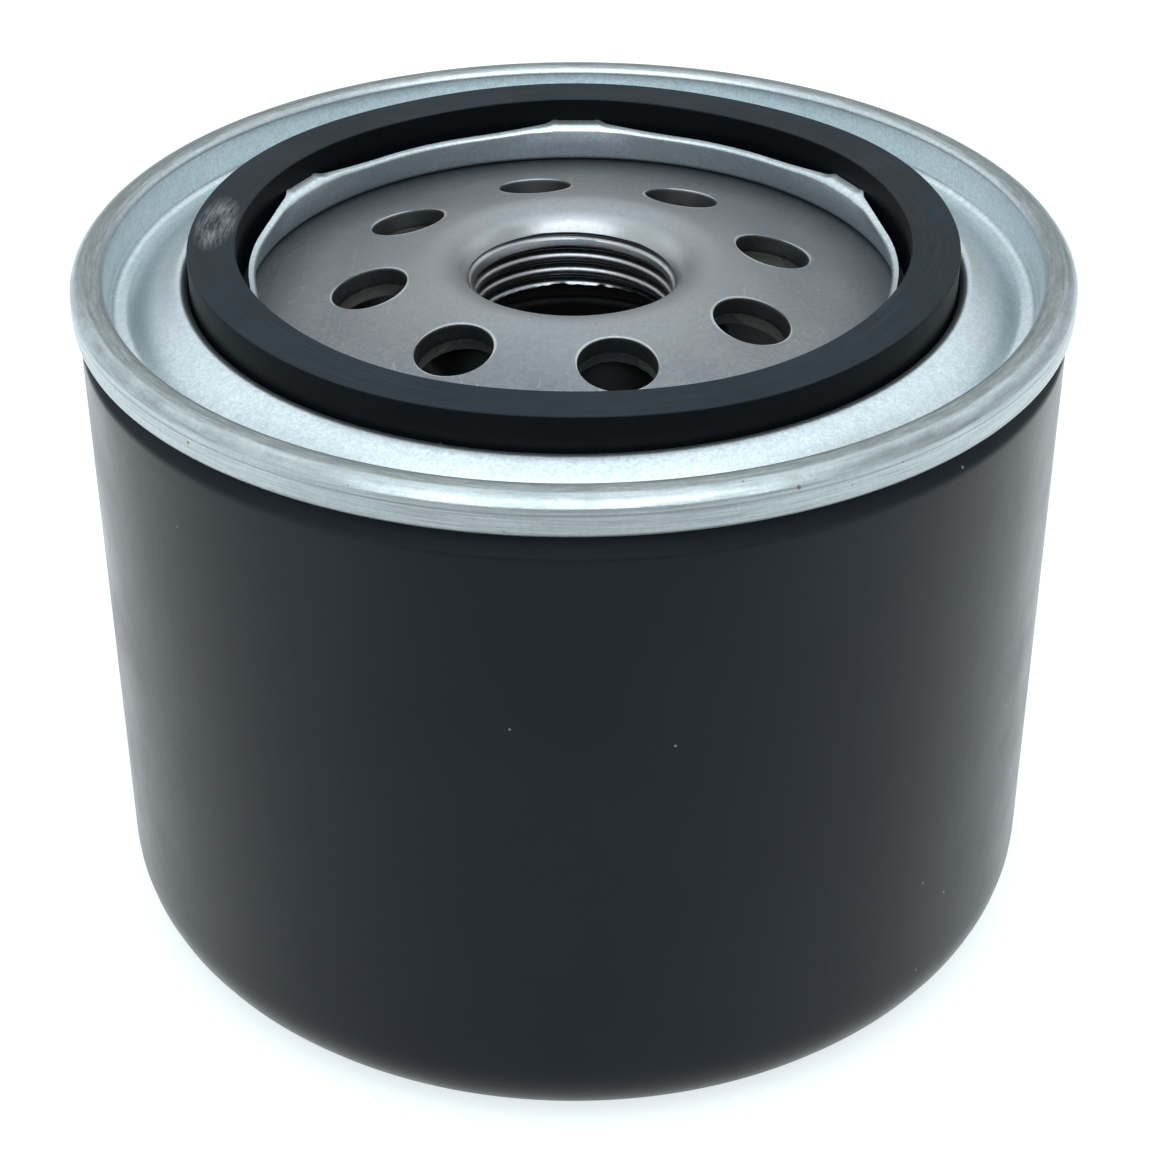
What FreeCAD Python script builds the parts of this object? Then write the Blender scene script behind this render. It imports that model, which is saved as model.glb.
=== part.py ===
"""Spin-on engine oil filter, in millimetres.

The origin is the centre of the can's bottom face and +Z points to the sealing end.
The driving dimensions are in the spreadsheet "Dims"; every outline is drawn in the XZ plane
as (radius, height) and turned round Z.
"""
import FreeCAD, Part
import math
import os

import Sketcher

Vector = FreeCAD.Vector
Z_AXIS = Vector(0, 0, 1)
UPRIGHT = FreeCAD.Placement(Vector(), FreeCAD.Rotation(Vector(1, 0, 0), 90))

# alias: (value, what it is)
DIMS = {
    # can and double seam
    "can_radius": (45.95, "outside radius of the can's wall"),
    "can_sheet": (0.5, "can sheet thickness"),
    "can_corner": (8.0, "outside radius of the bottom corner"),
    "panel_radius": (22.0, "radius of the raised panel in the can's bottom"),
    "panel_rise": (0.9, "height of the raised panel"),
    "panel_step": (1.0, "half the width of the slope round the raised panel"),
    "neck_start": (63.2, "height where the can draws in below the seam"),
    "neck_end": (65.3, "height where the drawn-in neck is straight again"),
    "seam_radius": (46.5, "outside radius of the double seam"),
    "seam_top": (69.2, "top of the double seam"),
    "seam_bottom": (65.3, "lower edge of the double seam"),
    "seam_gap": (0.05, "gap between two layers of the seam"),
    "sealant_room": (0.4, "room for the sealant above the can's hook"),
    "sealant_inner": (44.55, "inside radius of the sealant bead"),
    "sealant_outer": (45.15, "outside radius of the sealant bead"),
    "hook_room": (0.2, "room between the end of a hook and the fold it points at"),
    "seam_bend": (1.35, "outside bend at the top of the seam"),
    "hook_bend": (0.95, "outside bend of the lid's hook"),
    "tight_bend": (0.35, "tightest inside bend of the sheet"),
    "easy_bend": (1.3, "ordinary bend of the sheet"),
    # lid
    "lid_sheet": (0.7, "lid sheet thickness"),
    "ledge_top": (64.9, "top of the ledge at the foot of the chuck wall"),
    "ledge_radius": (41.5, "radius of the crease between ledge and dished floor"),
    "ledge_bend": (0.5, "bend between chuck wall and ledge"),
    "shoulder_radius": (38.9, "radius half way up the dished floor"),
    "shoulder_top": (66.85, "height half way up the dished floor"),
    "shoulder_bend": (8.0, "bend of the dished floor"),
    "groove_wall": (35.85, "radius of the groove's outer wall, gasket side"),
    "crest_top": (67.9, "height where floor and groove wall would meet"),
    "crest_bend": (0.9, "bend round the top of the groove wall"),
    "groove_floor": (64.8, "top of the gasket groove's floor"),
    "lip_radius": (30.4, "inside radius of the lip at its foot"),
    "lip_lean": (0.8, "how far the lip leans inwards at its top"),
    "lip_top": (67.7, "top of the lip"),
    "crimp_count": (6, "crimps that lock the gasket"),
    "crimp_start": (90, "angle of the first crimp in degrees"),
    "crimp_root": (30.2, "radius where a crimp starts, inside the lip's sheet"),
    "crimp_width": (4.5, "width of one crimp"),
    "crimp_height": (1.6, "height of one crimp"),
    "crimp_top": (68.2, "top of one crimp"),
    "crimp_reach": (0.9, "how far a crimp reaches towards the gasket"),
    # gasket
    "gasket_inner": (31.25, "gasket inside radius"),
    "gasket_outer": (35.7, "gasket outside radius"),
    "gasket_top": (70.5, "gasket top"),
    "gasket_edge": (0.35, "rounding of the gasket's edges"),
    # tapping plate
    "plate_sheet": (3.0, "tapping plate thickness"),
    "plate_radius": (40.5, "tapping plate outside radius"),
    "plate_rim_top": (64.05, "top of the plate's flat rim, under the lid"),
    "plate_rim_inner": (29.5, "radius where cone and flat rim meet"),
    "plate_bend": (6.0, "bend between cone and rim"),
    "under_shift": (0.35, "how much nearer the axis the underside's bend lies"),
    "mouth_corner": (68.84, "height where the cone's top would meet the bore"),
    "mouth_bend": (4.0, "bend from the cone over the crown into the bore"),
    "inlet_circle": (19.3, "radius of the circle through the inlet holes"),
    "inlet_radius": (3.6, "inlet hole radius"),
    "inlet_count": (8, "inlet holes"),
    "inlet_start": (101.5, "angle of the first inlet hole in degrees"),
    "thread_minor": (9.19, "radius of the M20 x 1.5 thread's crests"),
    "neck_radius": (12.0, "outside radius of the extruded neck"),
    "neck_bottom": (60.3, "lower end of the extruded neck"),
    "neck_corner": (65.1, "height where the cone's underside would meet the neck"),
    # anti-drainback valve
    "valve_inner": (12.3, "inside radius of the valve's collar"),
    "valve_collar": (14.6, "outside radius of the valve's collar"),
    "valve_collar_top": (64.1, "top of the valve's collar"),
    "valve_collar_taper": (0.6, "how much narrower the collar is at its top"),
    "valve_bottom": (57.5, "bottom of the valve's collar"),
    "valve_web_bottom": (58.3, "underside of the valve's web"),
    "valve_web": (1.1, "thickness of the valve's web"),
    "valve_web_radius": (24.0, "radius where the web turns up to the lip"),
    "valve_web_taper": (0.6, "how much nearer the axis the web's upper bend lies"),
    "valve_lip_radius": (27.0, "outside radius of the valve's lip"),
    "valve_lip_top": (61.4, "top of the valve's lip"),
    "valve_lip_width": (0.8, "width of the valve's lip"),
    # element
    "element_bottom": (10.0, "underside of the lower end cap"),
    "element_top": (57.4, "top of the upper end cap"),
    "element_radius": (41.4, "outside radius of both end caps"),
    "cap_sheet": (0.4, "end cap sheet thickness"),
    "cap_rim": (4.0, "height of the end cap's outer rim"),
    "cap_collar": (3.4, "height of the upper end cap's inner collar"),
    "cap_bend": (0.8, "outside bend of the end caps"),
    "outlet_radius": (12.4, "radius of the upper end cap's opening"),
    "bypass_opening": (9.5, "radius of the lower end cap's opening"),
    "potting_depth": (1.2, "depth of the glue bed in each end cap"),
    "tube_radius": (16.5, "outside radius of the centre tube"),
    "tube_sheet": (0.5, "centre tube sheet thickness"),
    "tube_hole": (1.7, "radius of a hole in the centre tube"),
    "tube_hole_first": (16.0, "height of the lowest row of holes"),
    "tube_hole_step": (5.2, "distance between two rows"),
    "tube_hole_rows": (8, "rows of holes"),
    "tube_hole_columns": (10, "holes in a row"),
    "pleat_count": (40, "pleats"),
    "pleat_inner": (18.2, "radius of the inner folds' middle line"),
    "pleat_outer": (39.4, "radius of the outer folds' middle line"),
    "pleat_inner_width": (1.25, "width of an inner fold"),
    "pleat_outer_width": (1.7, "width of an outer fold"),
    "media_sheet": (0.7, "paper thickness"),
    "clip_sheet": (0.3, "seam clip thickness"),
    "clip_depth": (4.5, "how far the seam clip reaches inwards"),
    "clip_gap": (0.02, "gap between clip and paper"),
    # bypass valve
    "seat_inner": (6.5, "radius of the bypass opening"),
    "seat_outer": (14.6, "outside radius of the seat ring"),
    "seat_sheet": (0.6, "seat ring thickness"),
    "seat_bead": (0.4, "height of the seat's bead"),
    "seat_bead_radius": (7.5, "outside radius of the seat's bead"),
    "seal_gap": (0.05, "gap between washer and seat bead"),
    "seal_radius": (8.2, "washer outside radius"),
    "seal_sheet": (0.8, "washer thickness"),
    "disc_radius": (8.4, "bypass disc outside radius"),
    "disc_sheet": (0.7, "bypass disc thickness"),
    "disc_rim": (1.8, "height of the bypass disc's rim"),
    "stem_radius": (1.5, "bypass stem radius"),
    "stem_head_radius": (3.2, "radius of the stem's head"),
    "stem_head": (0.8, "height of the stem's head"),
    "stem_top": (27.2, "top of the stem"),
    "guide_gap": (0.08, "radial clearance of the stem in the cage"),
    "cage_sheet": (0.6, "bypass cage thickness"),
    "cage_radius": (11.2, "outside radius of the cage's legs"),
    "cage_top": (24.6, "top of the bypass cage"),
    "cage_windows": (3, "windows in the cage"),
    "cage_window_width": (12.0, "width of one window"),
    "cage_foot": (2.0, "solid band above and below the windows"),
    "bypass_wire": (1.0, "bypass spring wire diameter"),
    "bypass_spring_radius": (6.3, "bypass spring mean radius"),
    "bypass_turns": (4.5, "turns of the bypass spring"),
    # support spring
    "spring_seat_inner": (9.0, "inside radius of the spring seat"),
    "spring_seat_outer": (16.4, "outside radius of the spring seat"),
    "spring_seat_rim": (1.6, "height of the spring seat's rim"),
    "support_wire": (1.8, "support spring wire diameter"),
    "support_top_radius": (14.2, "support spring mean radius at its top"),
    "support_bottom_radius": (19.0, "support spring mean radius at its bottom"),
    "support_turns": (2.5, "turns of the support spring"),
    "spring_gap": (0.02, "gap between a spring and what it rests on"),
}

doc = FreeCAD.newDocument("oil_filter")


def make_sheet():
    """Write the driving dimensions into the document's spreadsheet."""
    sheet = doc.addObject("Spreadsheet::Sheet", "Dims")
    for row, (alias, (value, meaning)) in enumerate(DIMS.items(), start=1):
        sheet.set(f"A{row}", alias)
        sheet.set(f"B{row}", str(value))
        sheet.set(f"C{row}", meaning)
        sheet.setAlias(f"B{row}", alias)
    doc.recompute()
    return sheet


dims = make_sheet()


def number(text):
    """Work out a sum such as "seam_top - lid_sheet" from the spreadsheet."""
    total = 0.0
    sign = 1
    for word in text.split():
        if word in "+-":
            sign = 1 if word == "+" else -1
        else:
            total += sign * float(dims.get(word) if word.isidentifier() else word)
    return total


def bound(text):
    """Turn the same sum into an expression that reads the spreadsheet."""
    return " ".join(f"Dims.{word}" if word.isidentifier() else word for word in text.split())


def bind(thing, **texts):
    """Bind properties of a document object to sums of spreadsheet cells."""
    for name, text in texts.items():
        thing.setExpression(name, bound(text))


def corner_tools(points, bends, closed):
    """Give each line's direction and the length that a bend takes off it at each corner."""
    count = len(points)
    lines = count if closed else count - 1
    directions = [(points[(i + 1) % count] - points[i]).normalize() for i in range(lines)]
    taken = [0.0] * count
    for i, bend in enumerate(bends):
        if bend > 0:
            turn = directions[i - 1].getAngle(directions[i])
            taken[i] = bend * math.tan(turn / 2)
    return directions, taken


def bend_arc(corner, before, after, bend, taken):
    """Draw the arc that rounds a corner, and say which of its ends comes first."""
    first = corner - before * taken
    last = corner + after * taken
    turns_left = before.cross(after).z > 0
    side = Vector(-before.y, before.x, 0) if turns_left else Vector(before.y, -before.x, 0)
    centre = first + side * bend
    start, end = (first, last) if turns_left else (last, first)
    begin = math.atan2(start.y - centre.y, start.x - centre.x)
    finish = math.atan2(end.y - centre.y, end.x - centre.x)
    arc = Part.ArcOfCircle(Part.Circle(centre, Z_AXIS, bend), begin, finish)
    return arc, (1, 2) if turns_left else (2, 1)


def place_point(rules, geometry, end, across, up):
    """Collect the constraints that hold one sketch point at (across, up)."""
    for text, kind, axis in ((across, "DistanceX", -2), (up, "DistanceY", -1)):
        if text == "0":
            rules.append((Sketcher.Constraint("PointOnObject", geometry, end, axis), None))
        else:
            rule = Sketcher.Constraint(kind, -1, 1, geometry, end, number(text))
            rules.append((rule, bound(text)))


def outline(sketch, corners, closed=True):
    """Draw an outline through corners given as (across, up, bend radius) texts."""
    points = [Vector(number(across), number(up), 0) for across, up, _ in corners]
    bends = [number(bend) for _, _, bend in corners]
    directions, taken = corner_tools(points, bends, closed)
    lines = []
    for i, direction in enumerate(directions):
        after = (i + 1) % len(points)
        start = points[i] + direction * taken[i]
        end = points[after] - direction * taken[after]
        lines.append(sketch.addGeometry(Part.LineSegment(start, end)))
    rules = []
    for i, (across, up, bend) in enumerate(corners):
        if not closed and i == 0:
            place_point(rules, lines[0], 1, across, up)
        elif not closed and i == len(corners) - 1:
            place_point(rules, lines[-1], 2, across, up)
        elif bends[i] == 0:
            rules.append((Sketcher.Constraint("Coincident", lines[i - 1], 2, lines[i], 1), None))
            place_point(rules, lines[i], 1, across, up)
        else:
            before, after = directions[i - 1], directions[i]
            arc, (first, last) = bend_arc(points[i], before, after, bends[i], taken[i])
            curve = sketch.addGeometry(arc)
            corner = sketch.addGeometry(Part.Point(points[i]), True)
            rules.append((Sketcher.Constraint("Tangent", lines[i - 1], 2, curve, first), None))
            rules.append((Sketcher.Constraint("Tangent", curve, last, lines[i], 1), None))
            rules.append((Sketcher.Constraint("Radius", curve, bends[i]), bound(bend)))
            rules.append((Sketcher.Constraint("PointOnObject", corner, 1, lines[i - 1]), None))
            rules.append((Sketcher.Constraint("PointOnObject", corner, 1, lines[i]), None))
            place_point(rules, corner, 1, across, up)
    indices = sketch.addConstraint([rule for rule, _ in rules])
    for index, (_, expression) in zip(indices, rules):
        if expression:
            sketch.setExpression(f"Constraints[{index}]", expression)


def plain(*corners):
    """Corners without bends."""
    return [(across, up, "0") for across, up in corners]


def upright_sketch(name):
    """Make a sketch in the XZ plane, outside any body."""
    sketch = doc.addObject("Sketcher::SketchObject", name + "_sketch")
    sketch.Placement = UPRIGHT
    return sketch


def turned(name, source):
    """Turn a face or a closed sketch round Z into a solid."""
    solid = doc.addObject("Part::Revolution", name)
    solid.Source = source
    solid.Axis = Z_AXIS
    solid.Base = Vector()
    solid.Angle = 360
    solid.Solid = True
    return solid


def pressed_sheet(name, path, sheet):
    """Make a turned sheet-metal piece from one face's path; the sheet lies left of the path."""
    sketch = upright_sketch(name)
    outline(sketch, path, closed=False)
    section = doc.addObject("Part::Offset2D", name + "_section")
    section.Source = sketch
    section.Mode = "Skin"
    section.Join = "Arc"
    section.Fill = True
    bind(section, Value=sheet)
    return turned(name, section)


def body_sketch(body, plane, name):
    """Attach a new sketch to one of a body's own origin planes."""
    sketch = body.newObject("Sketcher::SketchObject", name)
    support = [item for item in body.Origin.OriginFeatures if item.Role == plane][0]
    sketch.AttachmentSupport = [(support, "")]
    sketch.MapMode = "FlatFace"
    return sketch


def turned_body(name, corners):
    """Make a PartDesign body by turning a closed outline round Z."""
    body = doc.addObject("PartDesign::Body", name)
    sketch = body_sketch(body, "XZ_Plane", name + "_profile")
    outline(sketch, corners)
    turn = body.newObject("PartDesign::Revolution", name + "_turn")
    turn.Profile = sketch
    turn.ReferenceAxis = (sketch, ["V_Axis"])
    turn.Angle = 360
    sketch.Visibility = False
    return body


def turned_at(angle, radius, height, tilt=0.0):
    """Place something on a circle round Z, its own Z leaning outwards by tilt degrees."""
    spin = FreeCAD.Rotation(Z_AXIS, angle)
    lean = FreeCAD.Rotation(Vector(0, 1, 0), tilt)
    return FreeCAD.Placement(spin.multVec(Vector(radius, 0, height)), spin.multiply(lean))


def fused(name, pieces):
    """Join several objects into one solid."""
    whole = doc.addObject("Part::MultiFuse", name)
    whole.Shapes = pieces
    return whole


def without(name, base, tools):
    """Cut several objects out of one."""
    cutter = fused(name + "_cutters", tools)
    rest = doc.addObject("Part::Cut", name)
    rest.Base = base
    rest.Tool = cutter
    return rest


def block(name, place, **sizes):
    """Make a box centred on the local X axis of its placement."""
    box = doc.addObject("Part::Box", name)
    bind(box, **sizes)
    aside = Vector(0, -number(sizes["Width"]) / 2, 0)
    box.Placement = place.multiply(FreeCAD.Placement(aside, FreeCAD.Rotation()))
    return box


def housing_can():
    """Deep-drawn can; its path follows the outer face from the middle of the bottom to the hook."""
    wall = "seam_radius - lid_sheet - lid_sheet - can_sheet - seam_gap - seam_gap - seam_gap"
    hook = "seam_radius - lid_sheet - can_sheet - seam_gap"
    fold = "seam_top - lid_sheet - sealant_room - can_sheet"
    return pressed_sheet("housing_can", [
        ("0", "panel_rise", "0"),
        ("panel_radius - panel_step", "panel_rise", "easy_bend"),
        ("panel_radius + panel_step", "0", "easy_bend"),
        ("can_radius", "0", "can_corner"),
        ("can_radius", "neck_start", "easy_bend"),
        (wall, "neck_end", "easy_bend"),
        (wall, fold, "tight_bend"),
        (hook, fold, "tight_bend"),
        (hook, "seam_bottom + lid_sheet + hook_room", "0"),
    ], "can_sheet")


def seaming_lid():
    """Sheet ring from the seam's hook over the seam and down to the gasket groove and its lip."""
    hook = "seam_radius - lid_sheet - lid_sheet - can_sheet - seam_gap - seam_gap"
    chuck = hook + " - seam_gap - seam_gap - can_sheet - lid_sheet"
    groove_lip = "lip_radius + lid_sheet"
    ring = pressed_sheet("lid_ring", [
        (hook, "seam_top - lid_sheet - sealant_room - can_sheet - hook_room", "0"),
        (hook, "seam_bottom", "hook_bend"),
        ("seam_radius", "seam_bottom", "hook_bend"),
        ("seam_radius", "seam_top", "seam_bend"),
        (chuck, "seam_top", "seam_bend"),
        (chuck, "ledge_top", "ledge_bend"),
        ("ledge_radius", "ledge_top", "ledge_bend"),
        ("shoulder_radius", "shoulder_top", "shoulder_bend"),
        ("groove_wall", "crest_top", "crest_bend"),
        ("groove_wall", "groove_floor", "tight_bend"),
        (groove_lip, "groove_floor", "tight_bend"),
        (groove_lip + " - lip_lean", "lip_top", "0"),
    ], "lid_sheet")
    crimps = []
    count = int(number("crimp_count"))
    for i in range(count):
        angle = number("crimp_start") + i * 360 / count
        place = turned_at(angle, number("crimp_root"), number("crimp_top - crimp_height"))
        crimps.append(block(
            f"crimp_{i}",
            place,
            Length="crimp_reach",
            Width="crimp_width",
            Height="crimp_height",
        ))
    return fused("seaming_lid", [ring] + crimps)


def ring_body(name, inner, outer, bottom, top, edge="0"):
    """Turned ring with a rectangular section and equal edge bends."""
    return turned_body(name, [
        (inner, bottom, edge),
        (outer, bottom, edge),
        (outer, top, edge),
        (inner, top, edge),
    ])


def tapping_plate():
    """Domed plate with an extruded neck; the holes stand square to its cone."""
    body = turned_body("plate_blank", [
        ("thread_minor", "neck_bottom", "0"),
        ("neck_radius", "neck_bottom", "0"),
        ("neck_radius", "neck_corner", "easy_bend"),
        ("plate_rim_inner - under_shift", "plate_rim_top - plate_sheet", "plate_bend"),
        ("plate_radius", "plate_rim_top - plate_sheet", "0"),
        ("plate_radius", "plate_rim_top", "0"),
        ("plate_rim_inner", "plate_rim_top", "plate_bend"),
        ("thread_minor", "mouth_corner", "mouth_bend"),
    ])
    rise = number("mouth_corner - plate_rim_top")
    run = number("plate_rim_inner - thread_minor")
    tilt = math.degrees(math.atan2(rise, run))
    height = number("plate_rim_top") + rise / run * number("plate_rim_inner - inlet_circle")
    count = int(number("inlet_count"))
    tools = []
    for i in range(count):
        hole = doc.addObject("Part::Cylinder", f"inlet_tool_{i}")
        bind(hole, Radius="inlet_radius", Height="plate_sheet + plate_sheet + plate_sheet")
        angle = number("inlet_start") - i * 360 / count
        middle = turned_at(angle, number("inlet_circle"), height, tilt)
        below = FreeCAD.Placement(Vector(0, 0, -2 * number("plate_sheet")), FreeCAD.Rotation())
        hole.Placement = middle.multiply(below)
        tools.append(hole)
    return without("tapping_plate", body, tools)


def anti_drainback_valve():
    """Moulded rubber diaphragm: collar round the neck, web below the holes, lip up to the plate."""
    web_top = "valve_web_bottom + valve_web"
    return turned_body("anti_drainback_valve", [
        ("valve_inner", "valve_bottom", "0"),
        ("valve_collar", "valve_bottom", "0"),
        ("valve_collar", "valve_web_bottom", "tight_bend"),
        ("valve_web_radius", "valve_web_bottom", "easy_bend"),
        ("valve_lip_radius", "valve_lip_top", "0"),
        ("valve_lip_radius - valve_lip_width", "valve_lip_top", "0"),
        ("valve_web_radius - valve_web_taper", web_top, "easy_bend"),
        ("valve_collar", web_top, "tight_bend"),
        ("valve_collar - valve_collar_taper", "valve_collar_top", "0"),
        ("valve_inner", "valve_collar_top", "0"),
    ])


def upper_end_cap():
    """Pressed cap with an outer rim and an inner collar, both turned down."""
    return pressed_sheet("upper_end_cap", [
        ("element_radius", "element_top - cap_rim", "0"),
        ("element_radius", "element_top", "cap_bend"),
        ("outlet_radius", "element_top", "cap_bend"),
        ("outlet_radius", "element_top - cap_collar", "0"),
    ], "cap_sheet")


def lower_end_cap():
    """Pressed cap with its rim turned up."""
    return pressed_sheet("lower_end_cap", [
        ("bypass_opening", "element_bottom", "0"),
        ("element_radius", "element_bottom", "cap_bend"),
        ("element_radius", "element_bottom + cap_rim", "0"),
    ], "cap_sheet")


def centre_tube():
    """Perforated tube between the two caps."""
    body = ring_body("centre_tube", "tube_radius - tube_sheet", "tube_radius", CAP_FLOOR, CAP_CEILING)
    column = body_sketch(body, "XZ_Plane", "tube_holes")
    rules = []
    for row in range(int(number("tube_hole_rows"))):
        up = "tube_hole_first" + " + tube_hole_step" * row
        centre = Vector(0, number(up), 0)
        circle = column.addGeometry(Part.Circle(centre, Z_AXIS, number("tube_hole")))
        place_point(rules, circle, 3, "0", up)
        rules.append((Sketcher.Constraint("Radius", circle, number("tube_hole")), bound("tube_hole")))
    indices = column.addConstraint([rule for rule, _ in rules])
    for index, (_, expression) in zip(indices, rules):
        if expression:
            column.setExpression(f"Constraints[{index}]", expression)
    pocket = body.newObject("PartDesign::Pocket", "tube_pocket")
    pocket.Profile = column
    bind(pocket, Length="tube_radius + tube_radius")
    column.Visibility = False
    pattern = body.newObject("PartDesign::PolarPattern", "tube_pattern")
    pattern.Originals = [pocket]
    axis = [item for item in body.Origin.OriginFeatures if item.Role == "Z_Axis"][0]
    pattern.Axis = (axis, [""])
    pattern.Angle = 360
    bind(pattern, Occurrences="tube_hole_columns")
    body.Tip = pattern
    return body


def shifted(points, distance, closed):
    """Move a polyline sideways, to its right, by a distance; corners stay mitred."""
    count = len(points)
    lines = count if closed else count - 1
    normals = []
    for i in range(lines):
        along = (points[(i + 1) % count] - points[i]).normalize()
        normals.append(Vector(along.y, -along.x, 0))
    moved = []
    for i, point in enumerate(points):
        before = normals[i - 1] if closed or i > 0 else normals[0]
        after = normals[i] if i < lines else normals[-1]
        moved.append(point + (before + after) * (distance / (1 + before.dot(after))))
    return moved


def pleat_corners(pleat):
    """Give the four corners of one pleat's middle line: outer fold, then the inner fold after it."""
    half_pitch = 180 / number("pleat_count")
    corners = []
    for step, fold in enumerate(("pleat_outer", "pleat_inner")):
        radius = number(fold)
        width = number(fold + "_width")
        spin = FreeCAD.Rotation(Z_AXIS, (2 * pleat + step) * half_pitch)
        for side in (-1, 1):
            corners.append(spin.multVec(Vector(radius, side * width / 2, 0)))
    return corners


def raised(name, wires):
    """Extrude a face, made from an outer wire and perhaps a hole, between the two glue beds."""
    bottom = number(POTTING_TOP)
    polygons = [Part.makePolygon(points + points[:1]) for points in wires]
    face = Part.makeFace(polygons, "Part::FaceMakerBullseye")
    shape = face.extrude(Vector(0, 0, number(POTTING_BOTTOM) - bottom))
    piece = doc.addObject("Part::Feature", name)
    piece.Shape = shape
    piece.Placement = FreeCAD.Placement(Vector(0, 0, bottom), FreeCAD.Rotation())
    return piece


def pleated_media():
    """Pleated paper, glued into both caps."""
    middle = []
    for pleat in range(int(number("pleat_count"))):
        middle += pleat_corners(pleat)
    half = number("media_sheet") / 2
    return raised("pleated_media", [shifted(middle, half, True), shifted(middle, -half, True)])


def media_seam_clip():
    """Folded metal strip over the outer fold where the two ends of the paper meet."""
    right, left = pleat_corners(0)[:2]
    inner_left = pleat_corners(0)[2]
    inner_right = Vector(inner_left.x, -inner_left.y, 0)
    depth = number("clip_depth")
    path = [
        right + (inner_right - right).normalize() * depth,
        right,
        left,
        left + (inner_left - left).normalize() * depth,
    ]
    near = number("media_sheet") / 2 + number("clip_gap")
    far = near + number("clip_sheet")
    return raised("media_seam_clip", [shifted(path, far, False) + shifted(path, near, False)[::-1]])


def bypass_seat():
    """Stamped ring with a raised bead round the opening."""
    bead_top = SEAT_TOP + " + seat_bead"
    return turned_body("bypass_seat", plain(
        ("seat_inner", CAP_FLOOR),
        ("seat_outer", CAP_FLOOR),
        ("seat_outer", SEAT_TOP),
        ("seat_bead_radius", SEAT_TOP),
        ("seat_bead_radius", bead_top),
        ("seat_inner", bead_top),
    ))


def bypass_cage():
    """Pressed hat with windows in its wall and a guide hole for the stem in its top."""
    flange_top = SEAT_TOP + " + cage_sheet"
    hat = pressed_sheet("cage_hat", [
        ("seat_outer", flange_top, "0"),
        ("cage_radius", flange_top, "tight_bend"),
        ("cage_radius", "cage_top", "easy_bend"),
        ("stem_radius + guide_gap", "cage_top", "0"),
    ], "cage_sheet")
    windows = []
    count = int(number("cage_windows"))
    for i in range(count):
        place = turned_at(i * 360 / count, number("disc_radius"), number(flange_top + " + cage_foot"))
        windows.append(block(
            f"window_{i}",
            place,
            Length="cage_radius",
            Width="cage_window_width",
            Height="cage_top - cage_foot - cage_foot - " + flange_top.replace("+", "-"),
        ))
    return without("bypass_cage", hat, windows)


def bypass_disc():
    """Pressed cup that carries the washer and centres the spring."""
    return pressed_sheet("bypass_disc", [
        ("stem_radius + spring_gap", DISC_BOTTOM, "0"),
        ("disc_radius", DISC_BOTTOM, "easy_bend"),
        ("disc_radius", DISC_BOTTOM + " + disc_rim", "0"),
    ], "disc_sheet")


def bypass_stem():
    """Rivet with a flat head below the washer."""
    head_bottom = WASHER_BOTTOM + " - stem_head"
    return turned_body("bypass_stem", [
        ("0", head_bottom, "0"),
        ("stem_head_radius", head_bottom, "tight_bend"),
        ("stem_head_radius", WASHER_BOTTOM, "0"),
        ("stem_radius", WASHER_BOTTOM, "0"),
        ("stem_radius", "stem_top", "tight_bend"),
        ("0", "stem_top", "0"),
    ])


def coil(name, wire, bottom_radius, top_radius, bottom, top, turns):
    """Wind a round wire between two heights; the radius may change from bottom to top."""
    helix = doc.addObject("Part::Helix", name + "_path")
    rise = f"({bound(top)} - ({bound(bottom)}) - Dims.{wire} - 2 * Dims.spring_gap)"
    helix.setExpression("Height", rise)
    helix.setExpression("Pitch", f"{rise} / Dims.{turns}")
    helix.setExpression("Radius", f"Dims.{bottom_radius}")
    helix.setExpression("Angle", f"atan((Dims.{top_radius} - Dims.{bottom_radius}) / {rise})")
    section = doc.addObject("Part::Circle", name + "_wire")
    section.setExpression("Radius", f"Dims.{wire} / 2")
    start = number(bottom) + number(wire) / 2 + number("spring_gap")
    helix.Placement = FreeCAD.Placement(Vector(0, 0, start), FreeCAD.Rotation())
    section.Placement = FreeCAD.Placement(Vector(number(bottom_radius), 0, start), UPRIGHT.Rotation)
    spring = doc.addObject("Part::Sweep", name)
    spring.Sections = [section]
    spring.Spine = (helix, [])
    spring.Solid = True
    spring.Frenet = True
    return spring


def spring_seat():
    """Pressed ring that keeps the support spring in the middle of the element."""
    return pressed_sheet("spring_seat", [
        ("spring_seat_outer", "element_bottom - spring_seat_rim", "0"),
        ("spring_seat_outer", "element_bottom", "easy_bend"),
        ("spring_seat_inner", "element_bottom", "0"),
    ], "seat_sheet")


def write_parts(parts):
    """Check the whole document, then write each sub-part to its own file."""
    doc.recompute()
    failed = [thing.Label for thing in doc.Objects if {"Invalid", "Error"} & set(thing.State)]
    if failed:
        raise RuntimeError(f"these objects did not build: {failed}")
    for part in parts:
        if part.Shape.isNull() or not part.Shape.isValid() or not part.Shape.Solids:
            raise RuntimeError(f"{part.Label} has no valid solid")
    os.makedirs("parts", exist_ok=True)
    for part in parts:
        part.Shape.exportStep(f"parts/{part.Label}.step")
        print(f"{part.Label}: {len(part.Shape.Solids)} solid, {part.Shape.Volume:.1f} mm3")


# heights that follow from the driving dimensions, as sums for number() and bound()
CAP_FLOOR = "element_bottom + cap_sheet"
CAP_CEILING = "element_top - cap_sheet"
POTTING_TOP = CAP_FLOOR + " + potting_depth"
POTTING_BOTTOM = CAP_CEILING + " - potting_depth"
SEAT_TOP = CAP_FLOOR + " + seat_sheet"
WASHER_BOTTOM = SEAT_TOP + " + seat_bead + seal_gap"
DISC_BOTTOM = WASHER_BOTTOM + " + seal_sheet"
POTTING_INNER = "tube_radius + clip_gap"
POTTING_OUTER = "element_radius - cap_bend"

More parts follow.
